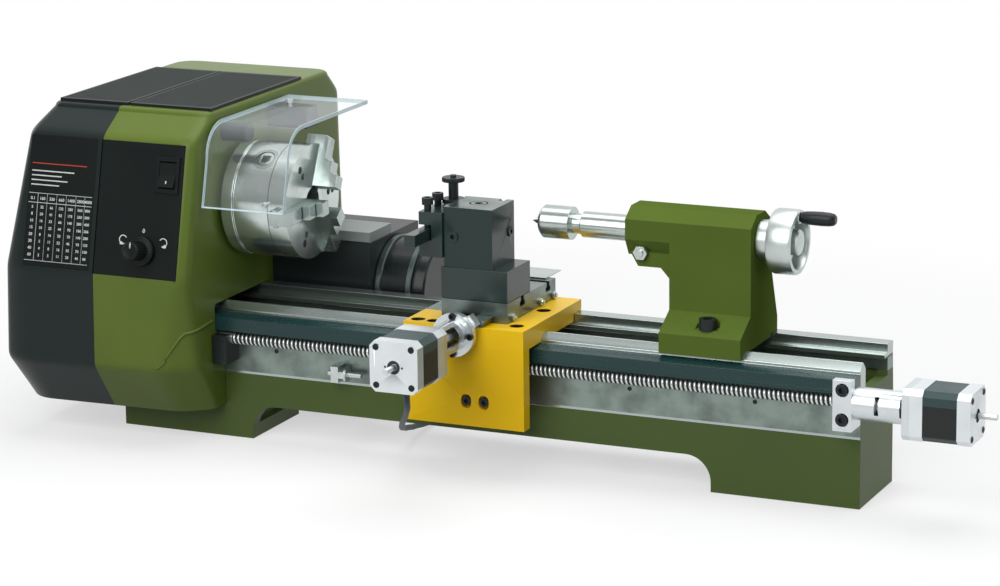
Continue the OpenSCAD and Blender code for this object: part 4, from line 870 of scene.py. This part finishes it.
@dataclass
class Hood:
    """Rounded moulded housing of the headstock, with its dark belt cover.

    levels holds, from the skirt to the top, the height, left edge, depths of the left
    front corner, of the front and of the right front corner, the length of the right
    corner's cut, and the depth of the back.
    """

    right: float = -238.0
    split: float = -326.0
    wall: float = 3.0
    foot: float = 29.0
    top: float = 289.0
    rim: float = 3.8
    levels: list[tuple[float, ...]] = field(default_factory=lambda: [
        (29, -420, 66, 86, 63, 24, 197), (72, -420, 109, 117, 92, 24, 197),
        (152, -420, 105, 112, 103, 8, 197), (268, -402, 86, 86, 81, 8, 193),
        (289, -392, 53, 53, 50, 8, 170)])

    def outline(self, level: np.ndarray, inset: np.ndarray) -> np.ndarray:
        """Rounded outlines, one for each level.

        Each corner is a quadratic curve between points at the corner radius along its
        two edges, and the edges between are straight.

        Args:
            level: rows of the values in levels.
            inset: how far each outline is drawn in.

        Returns:
            An array of levels, points and three coordinates.
        """
        z, left, front_left, front, front_right, nose, back = level.T
        right = np.full_like(z, self.right) - inset
        left, near = left + inset, -front + inset
        corners = np.stack([
            np.stack([left, -front_left + inset], -1), np.stack([left + 20, near], -1),
            np.stack([right - nose, near + (nose - 8) * 0.3], -1),
            np.stack([right, -front_right + inset], -1), np.stack([right, back - inset], -1),
            np.stack([left, back - inset], -1)], 1)
        before, after = np.roll(corners, 1, 1), np.roll(corners, -1, 1)
        to_before, to_after = before - corners, after - corners
        size_b = np.linalg.norm(to_before, axis=-1, keepdims=True)
        size_a = np.linalg.norm(to_after, axis=-1, keepdims=True)
        radii = np.array([14, 14, 9, 9, 16, 20.0])[None, :, None]
        start = corners + to_before / size_b * np.minimum(radii, size_b * 0.46)
        end = corners + to_after / size_a * np.minimum(radii, size_a * 0.46)
        t = np.linspace(0, 1, 10)[None, None, :, None]
        arc = ((1 - t) ** 2 * start[:, :, None] + 2 * t * (1 - t) * corners[:, :, None]
               + t ** 2 * end[:, :, None])
        s = np.linspace(0, 1, 12)[None, None, 1:-1, None]
        edge = end[:, :, None] * (1 - s) + np.roll(start, -1, 1)[:, :, None] * s
        plan = np.concatenate([arc, edge], 2).reshape(len(z), -1, 2)
        return np.concatenate([plan, np.broadcast_to(z[:, None, None], (*plan.shape[:2], 1))], -1)

    def shell(self) -> bpy.types.Object:
        """The outer surface: levels joined by straight walls, smoothed over 8 mm of height.

        The top edge is a quarter round, and rings shrink to the middle of the top.
        """
        known = np.array(self.levels, float)
        spare, span = 24, 36
        z = np.concatenate([np.arange(self.foot, 284, 3.0), [self.top - self.rim]])
        fine = np.arange(self.foot - spare, self.top + spare, 1.0)
        kernel = np.exp(-0.5 * (np.arange(-12, 13) / 2.6) ** 2)
        values = []
        for column in known.T[1:]:
            raw = np.interp(fine, known[:, 0], column)
            slope = (raw[spare + span] - raw[spare]) / span
            raw[:spare] = raw[spare] - slope * np.arange(spare, 0, -1)
            soft = np.convolve(raw, kernel / kernel.sum(), "same")
            values.append(np.interp(z, fine, np.where(fine > 274, raw, soft)))
        level = np.column_stack([z, *values])
        turn = np.radians(np.linspace(0, 90, 6))[1:]
        rim = np.repeat(level[-1:], 5, 0)
        rim[:, 0] = z[-1] + self.rim * np.sin(turn)
        body = self.outline(np.concatenate([level, rim]), np.concatenate(
            [np.zeros(len(z)), self.rim * (1 - np.cos(turn))]))
        last = body[-1]
        middle = last.mean(0)
        cap = np.stack([middle + (last - middle) * k for k in (0.97, 0.7, 0.35, 0.0)])
        made = surface("hood_form", np.concatenate([body, cap]), True, 60.0)
        thick = made.modifiers.new("wall", "SOLIDIFY")
        thick.thickness = self.wall * MM
        thick.offset = -1.0
        return made

    def slope(self) -> tuple[np.ndarray, np.ndarray, np.ndarray, np.ndarray]:
        """Origin, x, up and outward directions of the leaning front."""
        lean = math.atan2(26, 116)
        up = np.array([0.0, math.sin(lean), math.cos(lean)])
        out = np.array([0.0, -math.cos(lean), math.sin(lean)])
        return np.array([0.0, -112.0, 152.0]), np.array([1.0, 0.0, 0.0]), up, out

    def block(self, low: Sequence[float], high: Sequence[float],
              slanted: bool = False) -> tuple[np.ndarray, np.ndarray]:
        """Corners and faces of a box, in the frame or on the leaning front."""
        pick = np.array([[0, 0, 0], [1, 0, 0], [1, 1, 0], [0, 1, 0], [0, 0, 1], [1, 0, 1],
                         [1, 1, 1], [0, 1, 1]])
        corners = np.where(pick, np.array(high, float), np.array(low, float))
        if slanted:
            origin, x, up, out = self.slope()
            corners = origin + corners[:, :1] * x + corners[:, 1:2] * up + corners[:, 2:] * out
        faces = np.array([[0, 3, 2, 1], [4, 5, 6, 7], [0, 1, 5, 4], [1, 2, 6, 5], [2, 3, 7, 6],
                          [3, 0, 4, 7]])
        return corners, faces

    def cutter(self, name: str, *blocks: tuple[np.ndarray, np.ndarray]) -> bpy.types.Object:
        """One object of one box or plug or several, to cut with or to show."""
        made = joined(name, blocks)
        with edited(made.data) as work:
            bmesh.ops.recalc_face_normals(work, faces=work.faces)
        return made

    def cut(self, made: bpy.types.Object, tool: bpy.types.Object, kind: str) -> None:
        """Adds a Boolean to a piece."""
        step = made.modifiers.new(kind.lower(), "BOOLEAN")
        step.operation = kind
        step.object = tool
        step.solver = "EXACT"

    def settle(self, made: bpy.types.Object, name: str, smooth: float) -> bpy.types.Object:
        """Makes a piece of an object's evaluated mesh."""
        bpy.context.view_layer.update()
        shape = made.evaluated_get(bpy.context.evaluated_depsgraph_get())
        mesh = bpy.data.meshes.new_from_object(shape)
        mesh.shade_smooth()
        mesh.set_sharp_from_angle(angle=math.radians(smooth))
        return placed(name, mesh)

    def disc(self, x0: float, x1: float, y: float, z: float,
             radius: float) -> tuple[np.ndarray, np.ndarray]:
        """A many-sided plug along X, as quads, to cut a round hole."""
        count = 64
        a = np.linspace(0, 2 * np.pi, count, endpoint=False)
        ring = np.stack([np.zeros_like(a), y + radius * np.cos(a), z + radius * np.sin(a)], -1)
        points = np.concatenate([ring + [x0, 0, 0], ring + [x1, 0, 0],
                                 [[x0, y, z], [x1, y, z]]])
        i = np.arange(count)
        k = (i + 1) % count
        wall = np.stack([i, k, k + count, i + count], -1)
        one = i[::2]
        two, three = (one + 1) % count, (one + 2) % count
        near = np.stack([one, two, three, np.full_like(one, 2 * count)], -1)
        far = np.stack([three, two, one, np.full_like(one, count + 1)], -1) + count
        return points, np.concatenate([wall, near, far])

    def moulded_line(self) -> bpy.types.Object:
        """The raised line at the hood's right front, half sunk in its surface.

        Along the line s goes from 0 to 1. Its height rises as 74 + 31 * (3 t^2 - 2 t^3)
        with t = s / 0.4, and then by 3 mm more round the corner along the hood's outline.
        """
        known = np.array(self.levels, float)
        count = 64
        s = np.linspace(0.0, 1.0, count)
        t = np.clip(s / 0.4, 0, 1)
        z = 74.0 + 31.0 * t * t * (3 - 2 * t) + 3.0 * np.clip((s - 0.4) / 0.6, 0, 1)
        level = np.column_stack([z, *(np.interp(z, known[:, 0], c) for c in known.T[1:])])
        plans = self.outline(level, np.zeros(count))
        path = []
        for plan, share in zip(plans, s):
            keep = plan[(plan[:, 0] > -269.0) & (plan[:, 1] < -58.0)]
            keep = keep[np.argsort(keep[:, 0] + 0.7 * keep[:, 1])]
            length = np.concatenate([[0], np.cumsum(np.linalg.norm(np.diff(keep, axis=0), axis=1))])
            path.append([np.interp(share * length[-1], length, keep[:, i]) for i in range(3)])
        radius = (1.2 * np.sin(np.pi * np.clip(s * 8, 0, 0.5)))[:, None, None]
        rings = rings_along(np.array(path), (-0.2, -0.1, -1.0), radius, 12)
        return surface("hood_moulded_line", rings, True, 60.0)

    def build(self, dresser: Dresser) -> None:
        """Makes the hood and the belt cover with all their openings."""
        form, top = self.shell(), self.top
        holes = [
            self.block((-242, -43.4, 20), (-230, 43.4, 98.5)),  # bed
            self.block((-242.5, -58.4, 98.2), (-229.5, 43.3, 121.4)),  # ways
            self.block((-386, -48, top - 9), (-324, 113, top + 3)),  # left vent
            self.block((-316, -47.9, top - 9), (-243, 112.9, top + 3)),  # right vent
            self.block((self.split - 1, 0.8, -1.7), (self.right - 7.8, 116.2, 4), True),  # panel
            self.block((-397.2, 2.8, -1.75), (-330.8, 116.1, 4.1), True),  # plate
            self.block((-271, 75, -9), (-249, 105, 3), True),  # switch
            self.disc(-245, -230, 0, AXIS_Z, 32),  # spindle
            self.disc(-245.5, -230.5, 100, 112, 16),  # motor shaft
            self.disc(-430, -410, 0, AXIS_Z, 12),  # way out for bar stock
        ]
        tools = [self.cutter(f"hood_hole_{i}", hole) for i, hole in enumerate(holes)]
        for tool in tools:
            self.cut(form, tool, "DIFFERENCE")
        room = self.cutter("cover_room", self.block((-440, -140, 10), (self.split, 122, 300)))
        whole = self.settle(form, "hood_whole", 60.0)
        for name, kind, node, finish in (
                ("hood_moulding", "DIFFERENCE", "hood", Finishes.GREEN_HOOD),
                ("belt_cover_moulding", "INTERSECT", "belt_cover", Finishes.COVER)):
            whole.modifiers.clear()
            self.cut(whole, room, kind)
            piece = self.settle(whole, name, 40.0)
            dresser.stand(piece, node, finish)
        for tool in [*tools, room, form, whole]:
            bpy.data.objects.remove(tool)
        dresser.stand(self.moulded_line(), "hood", Finishes.GREEN_HOOD, instead=False)


@dataclass
class FrontPanel:
    """Graphics, knob and switch on the leaning front."""

    hood: Hood
    knob: tuple[float, float] = (-279.5, 24.0)
    switch: tuple[float, float] = (-260.0, 90.0)

    def place(self, flat: np.ndarray, out: float) -> np.ndarray:
        """Points drawn on the slope, as x and up, raised by out."""
        origin, x, up, away = self.hood.slope()
        return origin + flat[:, :1] * x + flat[:, 1:2] * up + out * away

    def words(self, name: str,
              items: Sequence[tuple[str, float, float, float]]) -> bpy.types.Object:
        """Numbers on the slope, as one mesh.

        Args:
            name: the piece's name.
            items: text, x, up and height of each number.

        Returns:
            The piece.
        """
        parts = []
        for text, x, up, size in items:
            curve = bpy.data.curves.new("number", "FONT")
            curve.body = text
            curve.size = size
            curve.resolution_u = 2
            curve.offset = 0.09
            curve.align_x = "CENTER"
            curve.align_y = "CENTER"
            holder = placed("number", curve)
            bpy.context.view_layer.update()
            mesh = bpy.data.meshes.new_from_object(
                holder.evaluated_get(bpy.context.evaluated_depsgraph_get()))
            mesh.calc_loop_triangles()
            flat = np.zeros(len(mesh.vertices) * 3)
            mesh.vertices.foreach_get("co", flat)
            flat = flat.reshape(-1, 3)[:, :2] + [x, up]
            tris = np.zeros(len(mesh.loop_triangles) * 3, dtype=np.int32)
            mesh.loop_triangles.foreach_get("vertices", tris)
            parts.append((self.place(flat, 0.12), tris.reshape(-1, 3)))
            bpy.data.objects.remove(holder)
            bpy.data.curves.remove(curve)
            bpy.data.meshes.remove(mesh)
        return joined(name, parts)

    def bars(self, name: str,
             rects: Sequence[tuple[float, float, float, float]]) -> bpy.types.Object:
        """Thin printed bars, each from x0, up0 to x1, up1."""
        x0, u0, x1, u1 = np.array(rects, float).T
        flat = np.stack([np.stack([x0, u0], -1), np.stack([x1, u0], -1), np.stack([x1, u1], -1),
                         np.stack([x0, u1], -1)], 1).reshape(-1, 2)
        faces = np.arange(len(flat)).reshape(-1, 4)
        return mesh_object(name, self.place(flat, 0.1), faces)

    def arrow(self, name: str, centre: tuple[float, float], radius: float, start: float,
              sweep: float) -> bpy.types.Object:
        """A curved arrow: a band round a centre that widens into a head at its end."""
        steps = 24
        t = np.linspace(0, 1, steps + 1)
        a = np.radians(start + sweep * t)
        half = np.where(t < 0.74, 0.42, np.clip((1 - t) / 0.26, 0, 1) * 1.7)
        ring = np.stack([np.cos(a), np.sin(a)], -1)
        inner, outer = ring * (radius - half)[:, None], ring * (radius + half)[:, None]
        flat = np.concatenate([inner, outer]) + centre
        i = np.arange(steps)
        faces = np.stack([i, i + steps + 1, i + steps + 2, i + 1], -1)
        if sweep < 0:
            faces = faces[:, ::-1]
        return mesh_object(name, self.place(flat, 0.12), faces)

    def build(self, dresser: Dresser) -> None:
        """Makes the table, the marks, the knob and the rocker."""
        white = Painted("print_white", "dde4e0", "cfd7d3", 0.5, 0.0, 1.0)
        red = Painted("print_red", "c1442c", "b33d27", 0.5, 0.0, 1.0)
        dresser.soft("control_panel", Finishes.PANEL, 0.35)
        dresser.soft("speed_plate", Finishes.PANEL, 0.3)
        columns = [-391.0, -381.5, -372.0, -362.5, -353.0, -343.5, -336.0]
        heads = ["0.1", "160", "330", "660", "1400", "2800", "4000"]
        speeds = np.array([5, 8, 10, 15, 20, 30, 40, 60])
        feeds = np.array([160, 330, 660, 1400, 2800, 4000])
        items = [(text, x, 61.0, 3.7) for text, x in zip(heads, columns)]
        for row, speed in enumerate(speeds):
            level = 53.5 - row * 5.9
            items.append((str(speed), columns[0], level, 3.6))
            items += [(str(int(feed / speed)), x, level, 3.3)
                      for feed, x in zip(feeds, columns[1:])]
        lines = [(-395.5, 57.2, -332.5, 57.7), (-386.4, 7.5, -386.0, 65.5),
                 (-395.5, 65.4, -332.5, 65.8), (-395.5, 7.2, -332.5, 7.6)]
        lines += [(x, 7.5, x + 0.25, 65.5) for x in (-377.0, -367.5, -358.0, -348.5, -339.6)]
        lines += [(-394.0, up, end, up + 1.0) for up, end in
                  ((84.5, -352.0), (80.5, -364.0), (76.5, -358.0), (72.5, -366.0))]
        kx, ku = self.knob
        for mark, node, finish in (
                (self.words("speed_table", items), "speed_plate", white),
                (self.bars("table_lines", lines), "speed_plate", white),
                (self.bars("red_line", [(-394.0, 91.0, -340.0, 91.9)]), "speed_plate", red),
                (self.words("knob_marks", [("0", kx, ku + 17.0, 5.0)]), "control_panel", white),
                (self.arrow("left_arrow", (kx - 19.5, ku + 8.5), 3.6, 30, 270),
                 "control_panel", white),
                (self.arrow("right_arrow", (kx + 19.5, ku + 8.5), 3.6, 150, -270),
                 "control_panel", white)):
            dresser.stand(mark, node, finish, instead=False)
        origin, x, up, out = self.hood.slope()
        base = origin + kx * x + ku * up
        flutes = lambda s, a: -0.45 * (np.cos(24 * a) > 0.2) * (s > 6.2) * (s < 20.5)
        knob = turned("selector_grip", Axis(tuple(out), tuple(base)), [
            (0.3, 0), (0.3, 12), (1.0, 12.5), (4.4, 12.4), (5.4, 11.6), (5.8, 9.2), (6.4, 8.6),
            (20.0, 8.2), (21.4, 7.6), (22.0, 6.4), (21.6, 5.6), (21.4, 0)], 144, flutes)
        dresser.stand(knob, "selector_knob", Finishes.PANEL)
        pointer = self.hood.cutter("selector_line", self.hood.block(
            (kx - 0.6, ku + 2.0, 21.4), (kx + 0.6, ku + 7.0, 21.9), True))
        dresser.stand(pointer, "selector_knob", white, instead=False)
        dresser.soft("rocker", Finishes.PANEL, 0.5)
        sx, su = self.switch
        marks = self.hood.cutter("rocker_marks", self.hood.block(
            (sx - 0.5, su - 9.0, 3.0), (sx + 0.5, su - 5.0, 3.72), True))
        dresser.stand(marks, "rocker", white, instead=False)


class Headstock:
    """What is seen of the headstock beside its hood: vents, guard, drive."""

    def build(self, dresser: Dresser) -> None:
        """Dresses the headstock's nodes."""
        # Below the rib tops the vent slots get near-black painted shade.
        dresser.coat("vents", Layered("vent_ribs", Finishes.VENT, (
            (Finishes.GROOVE, lambda x, y, z: z < 291.2),)))
        dresser.coat("head_casting", Finishes.IRON)
        for node in ("spindle_bearings", "motor_shaft"):
            dresser.coat(node, Finishes.TURNED)
        dresser.coat("drive_belt", Finishes.RUBBER)
        dresser.soften(
            ("drive_housing", Finishes.BLACK, 1.5), ("housing_lid", Finishes.LID, 0.8),
            ("guard", Finishes.CLEAR, 0.4, 1), ("guard_block", Finishes.BLACK, 0.6),
            ("guard_rest", Finishes.BLACK, 0.6), ("guard_screws", Finishes.MILKY, 0.15))
        self.motor(dresser)

    def motor(self, dresser: Dresser) -> None:
        """The drive motor: a drum with light rings and a domed end."""
        profile = [(0, 0), (0, 45.2), (0.8, 46), (5.2, 46), (6, 45.2), (6, 44), (29.5, 44),
                   (30, 45), (30.6, 46), (34.4, 46), (35, 45.2), (35, 41), (44.5, 40.4),
                   (46, 38.5), (46, 22), (44, 20), (44, 0)]
        drum = turned("drive_motor_drum", Axis((1, 0, 0), (-141, 100, 112)), profile)
        rings = Machined("motor_rings", "56615f", 0.3, Grain.TURNED_X, 0.01, 0.2,
                         (100.0, 112.0))
        case = Layered("motor_drum", Finishes.DRUM, ((rings, lambda x, y, z: (
            x.between(-141.5, -134.8) + x.between(-111.2, -105.8))),))
        dresser.stand(drum, "drive_motor", case)


class Chuck:
    """Spindle, backplate, chuck body, jaws and pinion."""

    @staticmethod
    def from_key(x: Val, y: Val, z: Val) -> Val:
        """Distance from the pinion's axis, on its side of the chuck, and 99 on the other."""
        s, c = math.sin(math.radians(35)), math.cos(math.radians(35))
        dx, across = x + 200.6, y * c + (z - AXIS_Z) * s
        out = (z - AXIS_Z) * c - y * s
        return dx.hypot(across) + (out < 40.0) * 99.0

    @staticmethod
    def in_bolt(y: Val, z: Val) -> Val:
        """1 inside the three screw holes of the chuck's face."""
        angles = [math.radians(degrees) for degrees in (35, 155, 275)]
        return in_circles(y, z, [(-38.0 * math.sin(a), AXIS_Z + 38.0 * math.cos(a))
                                 for a in angles], 3.3)

    def build(self, dresser: Dresser) -> None:
        """Dresses the chuck's nodes."""
        dresser.coat("spindle", Finishes.TURNED)
        dresser.coat("scroll", Finishes.TURNED)
        dresser.soften(
            ("backplate", Finishes.BODY, 0.7), ("chuck_body", Finishes.CHUCK, 0.35, 1),
            *((f"jaw_{i}", Finishes.JAW, 0.5) for i in (1, 2, 3)),
            ("pinion", Finishes.TURNED, 0.25, 1))


@dataclass
class BedAndScrew:
    """Bed, ways, leadscrew with its blocks, mount and motor, and the limit stop."""

    screw_y: float = -54.0
    screw_z: float = 92.0
    pitch: float = 4.0
    strip_marks: tuple[float, ...] = (-187.0, 30.0, 141.0, 250.5)

    def thread(self, dresser: Dresser) -> None:
        """The leadscrew: r = 5 - 0.95 * flank(x / pitch - a / turn), with plain ends.

        The flank rises and falls in straight lines with short flats, as a
        trapezoidal thread does.
        """
        x = np.concatenate([[-235.0], np.arange(-235.0, 340.01, 0.5), [340.0]])
        a = np.linspace(0, 2 * np.pi, 28, endpoint=False)
        x_grid, a_grid = np.meshgrid(x, a, indexing="ij")
        phase = (x_grid / self.pitch - a_grid / (2 * np.pi)) % 1.0
        flank = np.clip(2.6 * np.abs(phase * 2 - 1) - 0.8, 0, 1)
        plain = (x_grid < -222) | (x_grid > 323)
        r = np.where(plain, 5.0, 5.0 - 0.95 * flank)
        r[0], r[-1] = 0.0, 0.0
        points = np.stack([x_grid, self.screw_y + r * np.cos(a_grid),
                           self.screw_z + r * np.sin(a_grid)], -1)
        # The thread's roots, found by radius, get near-black painted shade.
        steel = Layered("thread_steel", Finishes.THREAD, ((Finishes.ROOT, lambda x, y, z: 1 - (
            y - self.screw_y).hypot(z - self.screw_z).ramp(4.25, 4.85)),))
        dresser.stand(surface("leadscrew_thread", points, True, 55.0), "leadscrew", steel)
        shaft = turned("leadscrew_end", Axis((1, 0, 0), (0, self.screw_y, self.screw_z)), [
            (340, 0), (340, 5), (348, 5), (348, 7), (348.6, 7.5), (373.4, 7.5), (374, 7),
            (374, 2.5), (455.6, 2.5), (456, 2.1), (456, 0)], 48)
        dresser.stand(shaft, "leadscrew", Machined(
            "shaft_steel", "c9cfcd", 0.22, Grain.TURNED_X, 0.01, 0.15,
            (self.screw_y, self.screw_z)), instead=False)

    def strip_pins(self, dresser: Dresser) -> None:
        """Small dark pins in the machined strip under the leadscrew."""
        profile = [(-0.3, 0), (-0.3, 1.9), (0.3, 1.9), (0.5, 1.6), (0.5, 0)]
        for i, x in enumerate(self.strip_marks):
            pin = turned(f"strip_pin_{i + 1}", Axis((0, -1, 0), (x, -43.0, 80.8)), profile, 24)
            dresser.stand(pin, "bed", Finishes.BLACK, instead=False)

    def build(self, dresser: Dresser) -> None:
        """Dresses the bed's side of the lathe."""
        bed = Layered("bed_paint", Finishes.GREEN_BED, (
            (Finishes.STRIP, lambda x, y, z: ((y < -42.8) * (z > 58.05) + (z > 98.45)) > 0.5),
            # A lighter ground band along the strip's lower edge: partly the chamfer's own ground
            # finish, partly a painted highlight.
            (Finishes.GROUND_X, lambda x, y, z: (y < -42.8) * z.between(58.05, 60.2))))
        ways = Layered("ways_metal", Finishes.GROUND_X, (
            # The front way's flank gets the dark teal of a painted reflection of dark surroundings.
            (Finishes.FLANK, lambda x, y, z: (y < -43.4) * (z < 112.55)),
            (Finishes.GREEN_BED, lambda x, y, z: (y > 0.0) * (z < 111.0) * (x > 339.4))))
        dresser.soft("bed", bed, 0.9)
        dresser.soft("ways", ways, 0.4)
        self.thread(dresser)
        self.strip_pins(dresser)
        blocks = Layered("block_metal", Finishes.ALLOY, (
            (Finishes.BLACK, lambda x, y, z: x < 0.0),))
        case = StepperCase("bed_motor_case", 0, 390.0, 1.0, (self.screw_y, self.screw_z))
        dresser.soften(
            ("screw_blocks", blocks, 0.5), ("block_screws", Finishes.BLACK, 0.3),
            ("motor_mount", Finishes.ALLOY, 0.3, 1), ("bed_motor", case, 0.25, 1))
        dresser.studs("bed_motor_screws", "bed_motor",
                      Axis((1, 0, 0), (440, self.screw_y, self.screw_z)), 22.0, 45.0)
        dresser.soft("limit_stop", Finishes.STOP, 0.25, 1)


@dataclass
class Carriage:
    """Saddle, apron, slide, tool post and the cross motor."""

    holes: tuple[tuple[float, float], ...] = ((-37.8, -70.0), (-23.0, -70.4), (48.5, -62.0),
                                              (48.0, -5.0))

    def build(self, dresser: Dresser) -> None:
        """Dresses the carriage's nodes."""
        bare = lambda x, y, z: ((z > 130.1) + (x < -22.7) * (y > -37.0) * (z > 113.0)) > 0.5
        # The saddle's holes get near-black painted shade inside.
        saddle = Layered("saddle_paint", Finishes.YELLOW, (
            (Finishes.SLIDE, bare), (Finishes.HOLE, self.in_hole)))
        # Bare steel on the post's top, lighter than its painted sides: partly a machined top,
        # partly a painted sheen.
        post = Layered("post_paint_top_sheen", Finishes.TEAL, ((Finishes.SLIDE, lambda x, y, z: z > 225.1),))
        case = StepperCase("cross_motor_case", 1, -155.0, -1.0, (4.5, 125.3))
        dresser.coat("lead_nut", Finishes.BRONZE)
        dresser.coat("cross_screw", Finishes.ALLOY)
        dresser.soften(
            ("saddle", saddle, 0.5), ("apron", Finishes.YELLOW, 0.8),
            ("apron_screws", Finishes.BLACK, 0.25), ("cross_slide", Finishes.SLIDE, 0.35),
            ("gib_screws", Finishes.TURNED, 0.15, 1), ("rear_cover", Finishes.SHEET, 0.2, 1),
            ("riser", Finishes.TEAL, 0.7), ("tool_post", post, 0.7),
            ("tool_holder", Finishes.TEAL, 0.6), ("holder_screws", Finishes.BLACK, 0.25),
            ("cutting_tool", Finishes.TEAL, 0.4), ("cross_motor_mount", Finishes.ALLOY, 0.3, 1),
            ("cross_motor", case, 0.25, 1))
        dresser.studs("cross_motor_screws", "cross_motor",
                      Axis((0, -1, 0), (4.5, -205, 125.3)), 22.0, 45.0)
        dresser.studs("flange_screws", "cross_motor_mount",
                      Axis((0, -1, 0), (4.5, -93, 125.3)), 15.9, 0.0, 2.9, 2.6)
        self.height_nut(dresser)

    def in_hole(self, x: Val, y: Val, z: Val) -> Val:
        """1 inside the saddle's counterbored holes below its painted top, where painted shade goes.
        """
        return in_circles(x, y, self.holes, 6.7) * (z < 129.4)

    def height_nut(self, dresser: Dresser) -> None:
        """The sleeve with its two knurled discs; the knurl is r - 0.35 * |sin 30 a|."""
        profile = [(0, 2.54), (0, 9.2), (0.5, 9.6), (3.3, 9.6), (3.8, 9.2), (3.8, 4.2),
                   (18.2, 4.2), (18.2, 9.2), (18.7, 9.6), (21.3, 9.6), (21.8, 9.2), (21.8, 2.54),
                   (0, 2.54)]
        knurl = lambda s, a: np.where((s > 0.4) & (s < 3.4) | (s > 18.6) & (s < 21.4),
                                      -0.35 * np.abs(np.sin(30 * a)), 0.0)
        nut = turned("height_nut_knurled", Axis((0, 0, 1), (-25.0, -24.7, 221.1)), profile, 180,
                     knurl)
        dresser.stand(nut, "height_nut", Finishes.BLACK)


@dataclass
class Tailstock:
    """Tailstock, quill, live centre, handwheel and crank."""

    wheel_x: float = 251.5

    def wheel(self, dresser: Dresser) -> None:
        """Handwheel with a round rim, a dished web and a hub, and the graduated collar."""
        x = self.wheel_x
        axis = Axis((1, 0, 0), (0, 0, AXIS_Z))
        profile = [(151.5, 0), (151.5, 5), (239.8, 5), (239.8, 15.6), (240.6, 16.5), (250.6, 16.5),
                   (x, 15.8), (x, 24.6), (x + 0.8, 26.2), (x + 3, 27), (x + 19, 27),
                   (x + 21.2, 26.2), (x + 22, 24.6), (x + 21.4, 22.8), (x + 20, 22),
                   (x + 10, 21.6), (x + 8, 20), (x + 7.4, 15), (x + 8.4, 11.8), (x + 12, 11),
                   (x + 20.8, 10.6), (x + 22, 9.4), (x + 22, 0)]
        dresser.stand(turned("handwheel_turned", axis, profile), "handwheel", Finishes.WHEEL)
        pin = Axis((1, 0, 0), (0, 0, AXIS_Z + 21))
        boss = turned("crank_boss", pin, [
            (x + 2, 3.1), (x + 2, 5.5), (x + 21.4, 5.5), (x + 22, 5.0), (x + 22, 3.1),
            (x + 2, 3.1)], 48)
        dresser.stand(boss, "handwheel", Finishes.WHEEL, instead=False)
        grip = turned("crank_grip", pin, [
            (x + 6.3, 0), (x + 6.3, 3), (x + 22.3, 3), (x + 22.3, 3.6), (x + 23, 4.4),
            (x + 27, 5.3), (x + 33, 5.7), (x + 40, 5.9), (x + 47, 5.6), (x + 50.5, 4.8),
            (x + 52, 3.4), (x + 52.3, 0)], 48)
        dresser.stand(grip, "crank_handle", Finishes.BLACK)

    def build(self, dresser: Dresser) -> None:
        """Dresses the tailstock's nodes."""
        dresser.soften(
            ("tailstock", Finishes.TAIL_GREEN, 1.2), ("clamp_bolt", Finishes.BLACK, 0.4),
            ("quill", Finishes.TURNED, 0.5), ("live_centre", Finishes.TURNED, 0.3),
            ("lock_nut", Finishes.TURNED, 0.3))
        self.wheel(dresser)


def main() -> None:
    """Builds the scene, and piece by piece."""
    logging.basicConfig(level=logging.INFO, format="%(name)s: %(message)s")
    Studio().build()
    dresser, hood = Dresser(), Hood()
    Cable().build(dresser)
    for part in (hood, FrontPanel(hood), Headstock(), Chuck(), BedAndScrew(), Carriage(),
                 Tailstock()):
        part.build(dresser)
        LOG.info("%s done", type(part).__name__)


if __name__ == "__main__":
    main()
